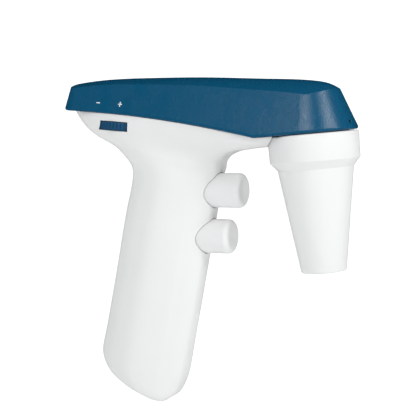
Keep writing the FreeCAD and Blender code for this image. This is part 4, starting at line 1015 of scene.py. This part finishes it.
# %% The battery cell
HANDLE_LEAN = math.radians(16.2)
handle_axis = Vector((math.sin(HANDLE_LEAN), 0, math.cos(HANDLE_LEAN)))
place, length, radius = along("battery_cell", handle_axis)
cell = centre_to_centre([
    (1.0 * MM, 0.25 * MM), (radius - 1.8 * MM, 0.25 * MM), (radius - 1.6 * MM, 0.0),
    (radius - 0.7 * MM, 0.0), (radius - 0.1 * MM, 0.6 * MM), (radius, 1.4 * MM),
    (radius, length - 5.0 * MM), (radius - 0.15 * MM, length - 4.4 * MM),
    (radius - 0.6 * MM, length - 3.8 * MM), (radius - 0.15 * MM, length - 3.2 * MM),
    (radius - 0.05 * MM, length - 2.0 * MM), (radius - 0.6 * MM, length - 1.0 * MM),
    (radius - 1.6 * MM, length - 0.9 * MM), (radius - 1.8 * MM, length - 1.2 * MM),
    (4.4 * MM, length - 1.2 * MM), (4.0 * MM, length - 0.2 * MM), (3.7 * MM, length),
    (1.0 * MM, length)], 72)
ends = [face.index for face in cell.data.polygons if face.center.xy.length < radius - 1.7 * MM]
finished(cell, "wrapped_cell", "battery_wrap", "housing", place)
cell.data.materials.append(finishes["turned_steel"])
for face in ends:
    cell.data.polygons[face].material_index = 1
take(cell)
bpy.ops.object.shade_smooth_by_angle(angle=math.radians(35))
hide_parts("battery_cell")
print(cell.name, len(ends), "faces of bare metal")

# %% [markdown]
# ## The pump motor
# A small direct-current motor: a drawn steel can with rounded shoulders, a bearing boss at each
# end, and two tinned tabs for its leads at the back. The can is turned along X. The tabs are
# slabs, bevelled at their corners and joined to it.

# %% The pump motor
TAB_LENGTH = 1.9 * MM
TAB_WIDTH = 0.5 * MM
TAB_AWAY = 6.4 * MM
TAB_SUNK = 0.4 * MM
TAB_STRETCH = 22
place, length, radius = along("pump_motor", Vector((1, 0, 0)))
boss = radius - 4.0 * MM
can = centre_to_centre([
    (0.8 * MM, 0.0), (2.6 * MM, 0.0), (3.0 * MM, 0.3 * MM), (3.0 * MM, 1.2 * MM), (boss, 1.2 * MM),
    (boss + 0.4 * MM, 1.5 * MM), (radius - 0.8 * MM, 1.5 * MM), (radius - 0.2 * MM, 1.8 * MM),
    (radius, 2.4 * MM), (radius, 7.0 * MM), (radius - 0.25 * MM, 7.2 * MM),
    (radius - 0.25 * MM, 7.8 * MM), (radius, 8.0 * MM), (radius, length - 1.2 * MM), (radius - 0.3 * MM, length - 0.5 * MM),
    (radius - 1.1 * MM, length), (3.2 * MM, length), (3.0 * MM, length - 0.5 * MM),
    (1.4 * MM, length - 0.5 * MM)], 72)
tabs = []
for side in (-1, 1):
    tab = stroke(TAB_LENGTH, TAB_WIDTH, math.pi / 2)
    take(tab)
    tab.data.transform(Matrix.Translation((0, side * TAB_AWAY, -TAB_SUNK))
                       @ Matrix.Diagonal((1, 1, TAB_STRETCH, 1)))
    tabs.append(tab)
motor = join_pieces([can] + tabs)
finished(motor, "drawn_motor", "motor_can", "housing", place)
take(motor)
bpy.ops.object.shade_smooth_by_angle(angle=math.radians(30))
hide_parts("pump_motor")
print(motor.name, len(motor.data.polygons), "faces")

# %% [markdown]
# ## Measure and finish
# The CAD model's box is printed.

# %% Measure and finish
select_nothing()
print("CAD box", cad_box)
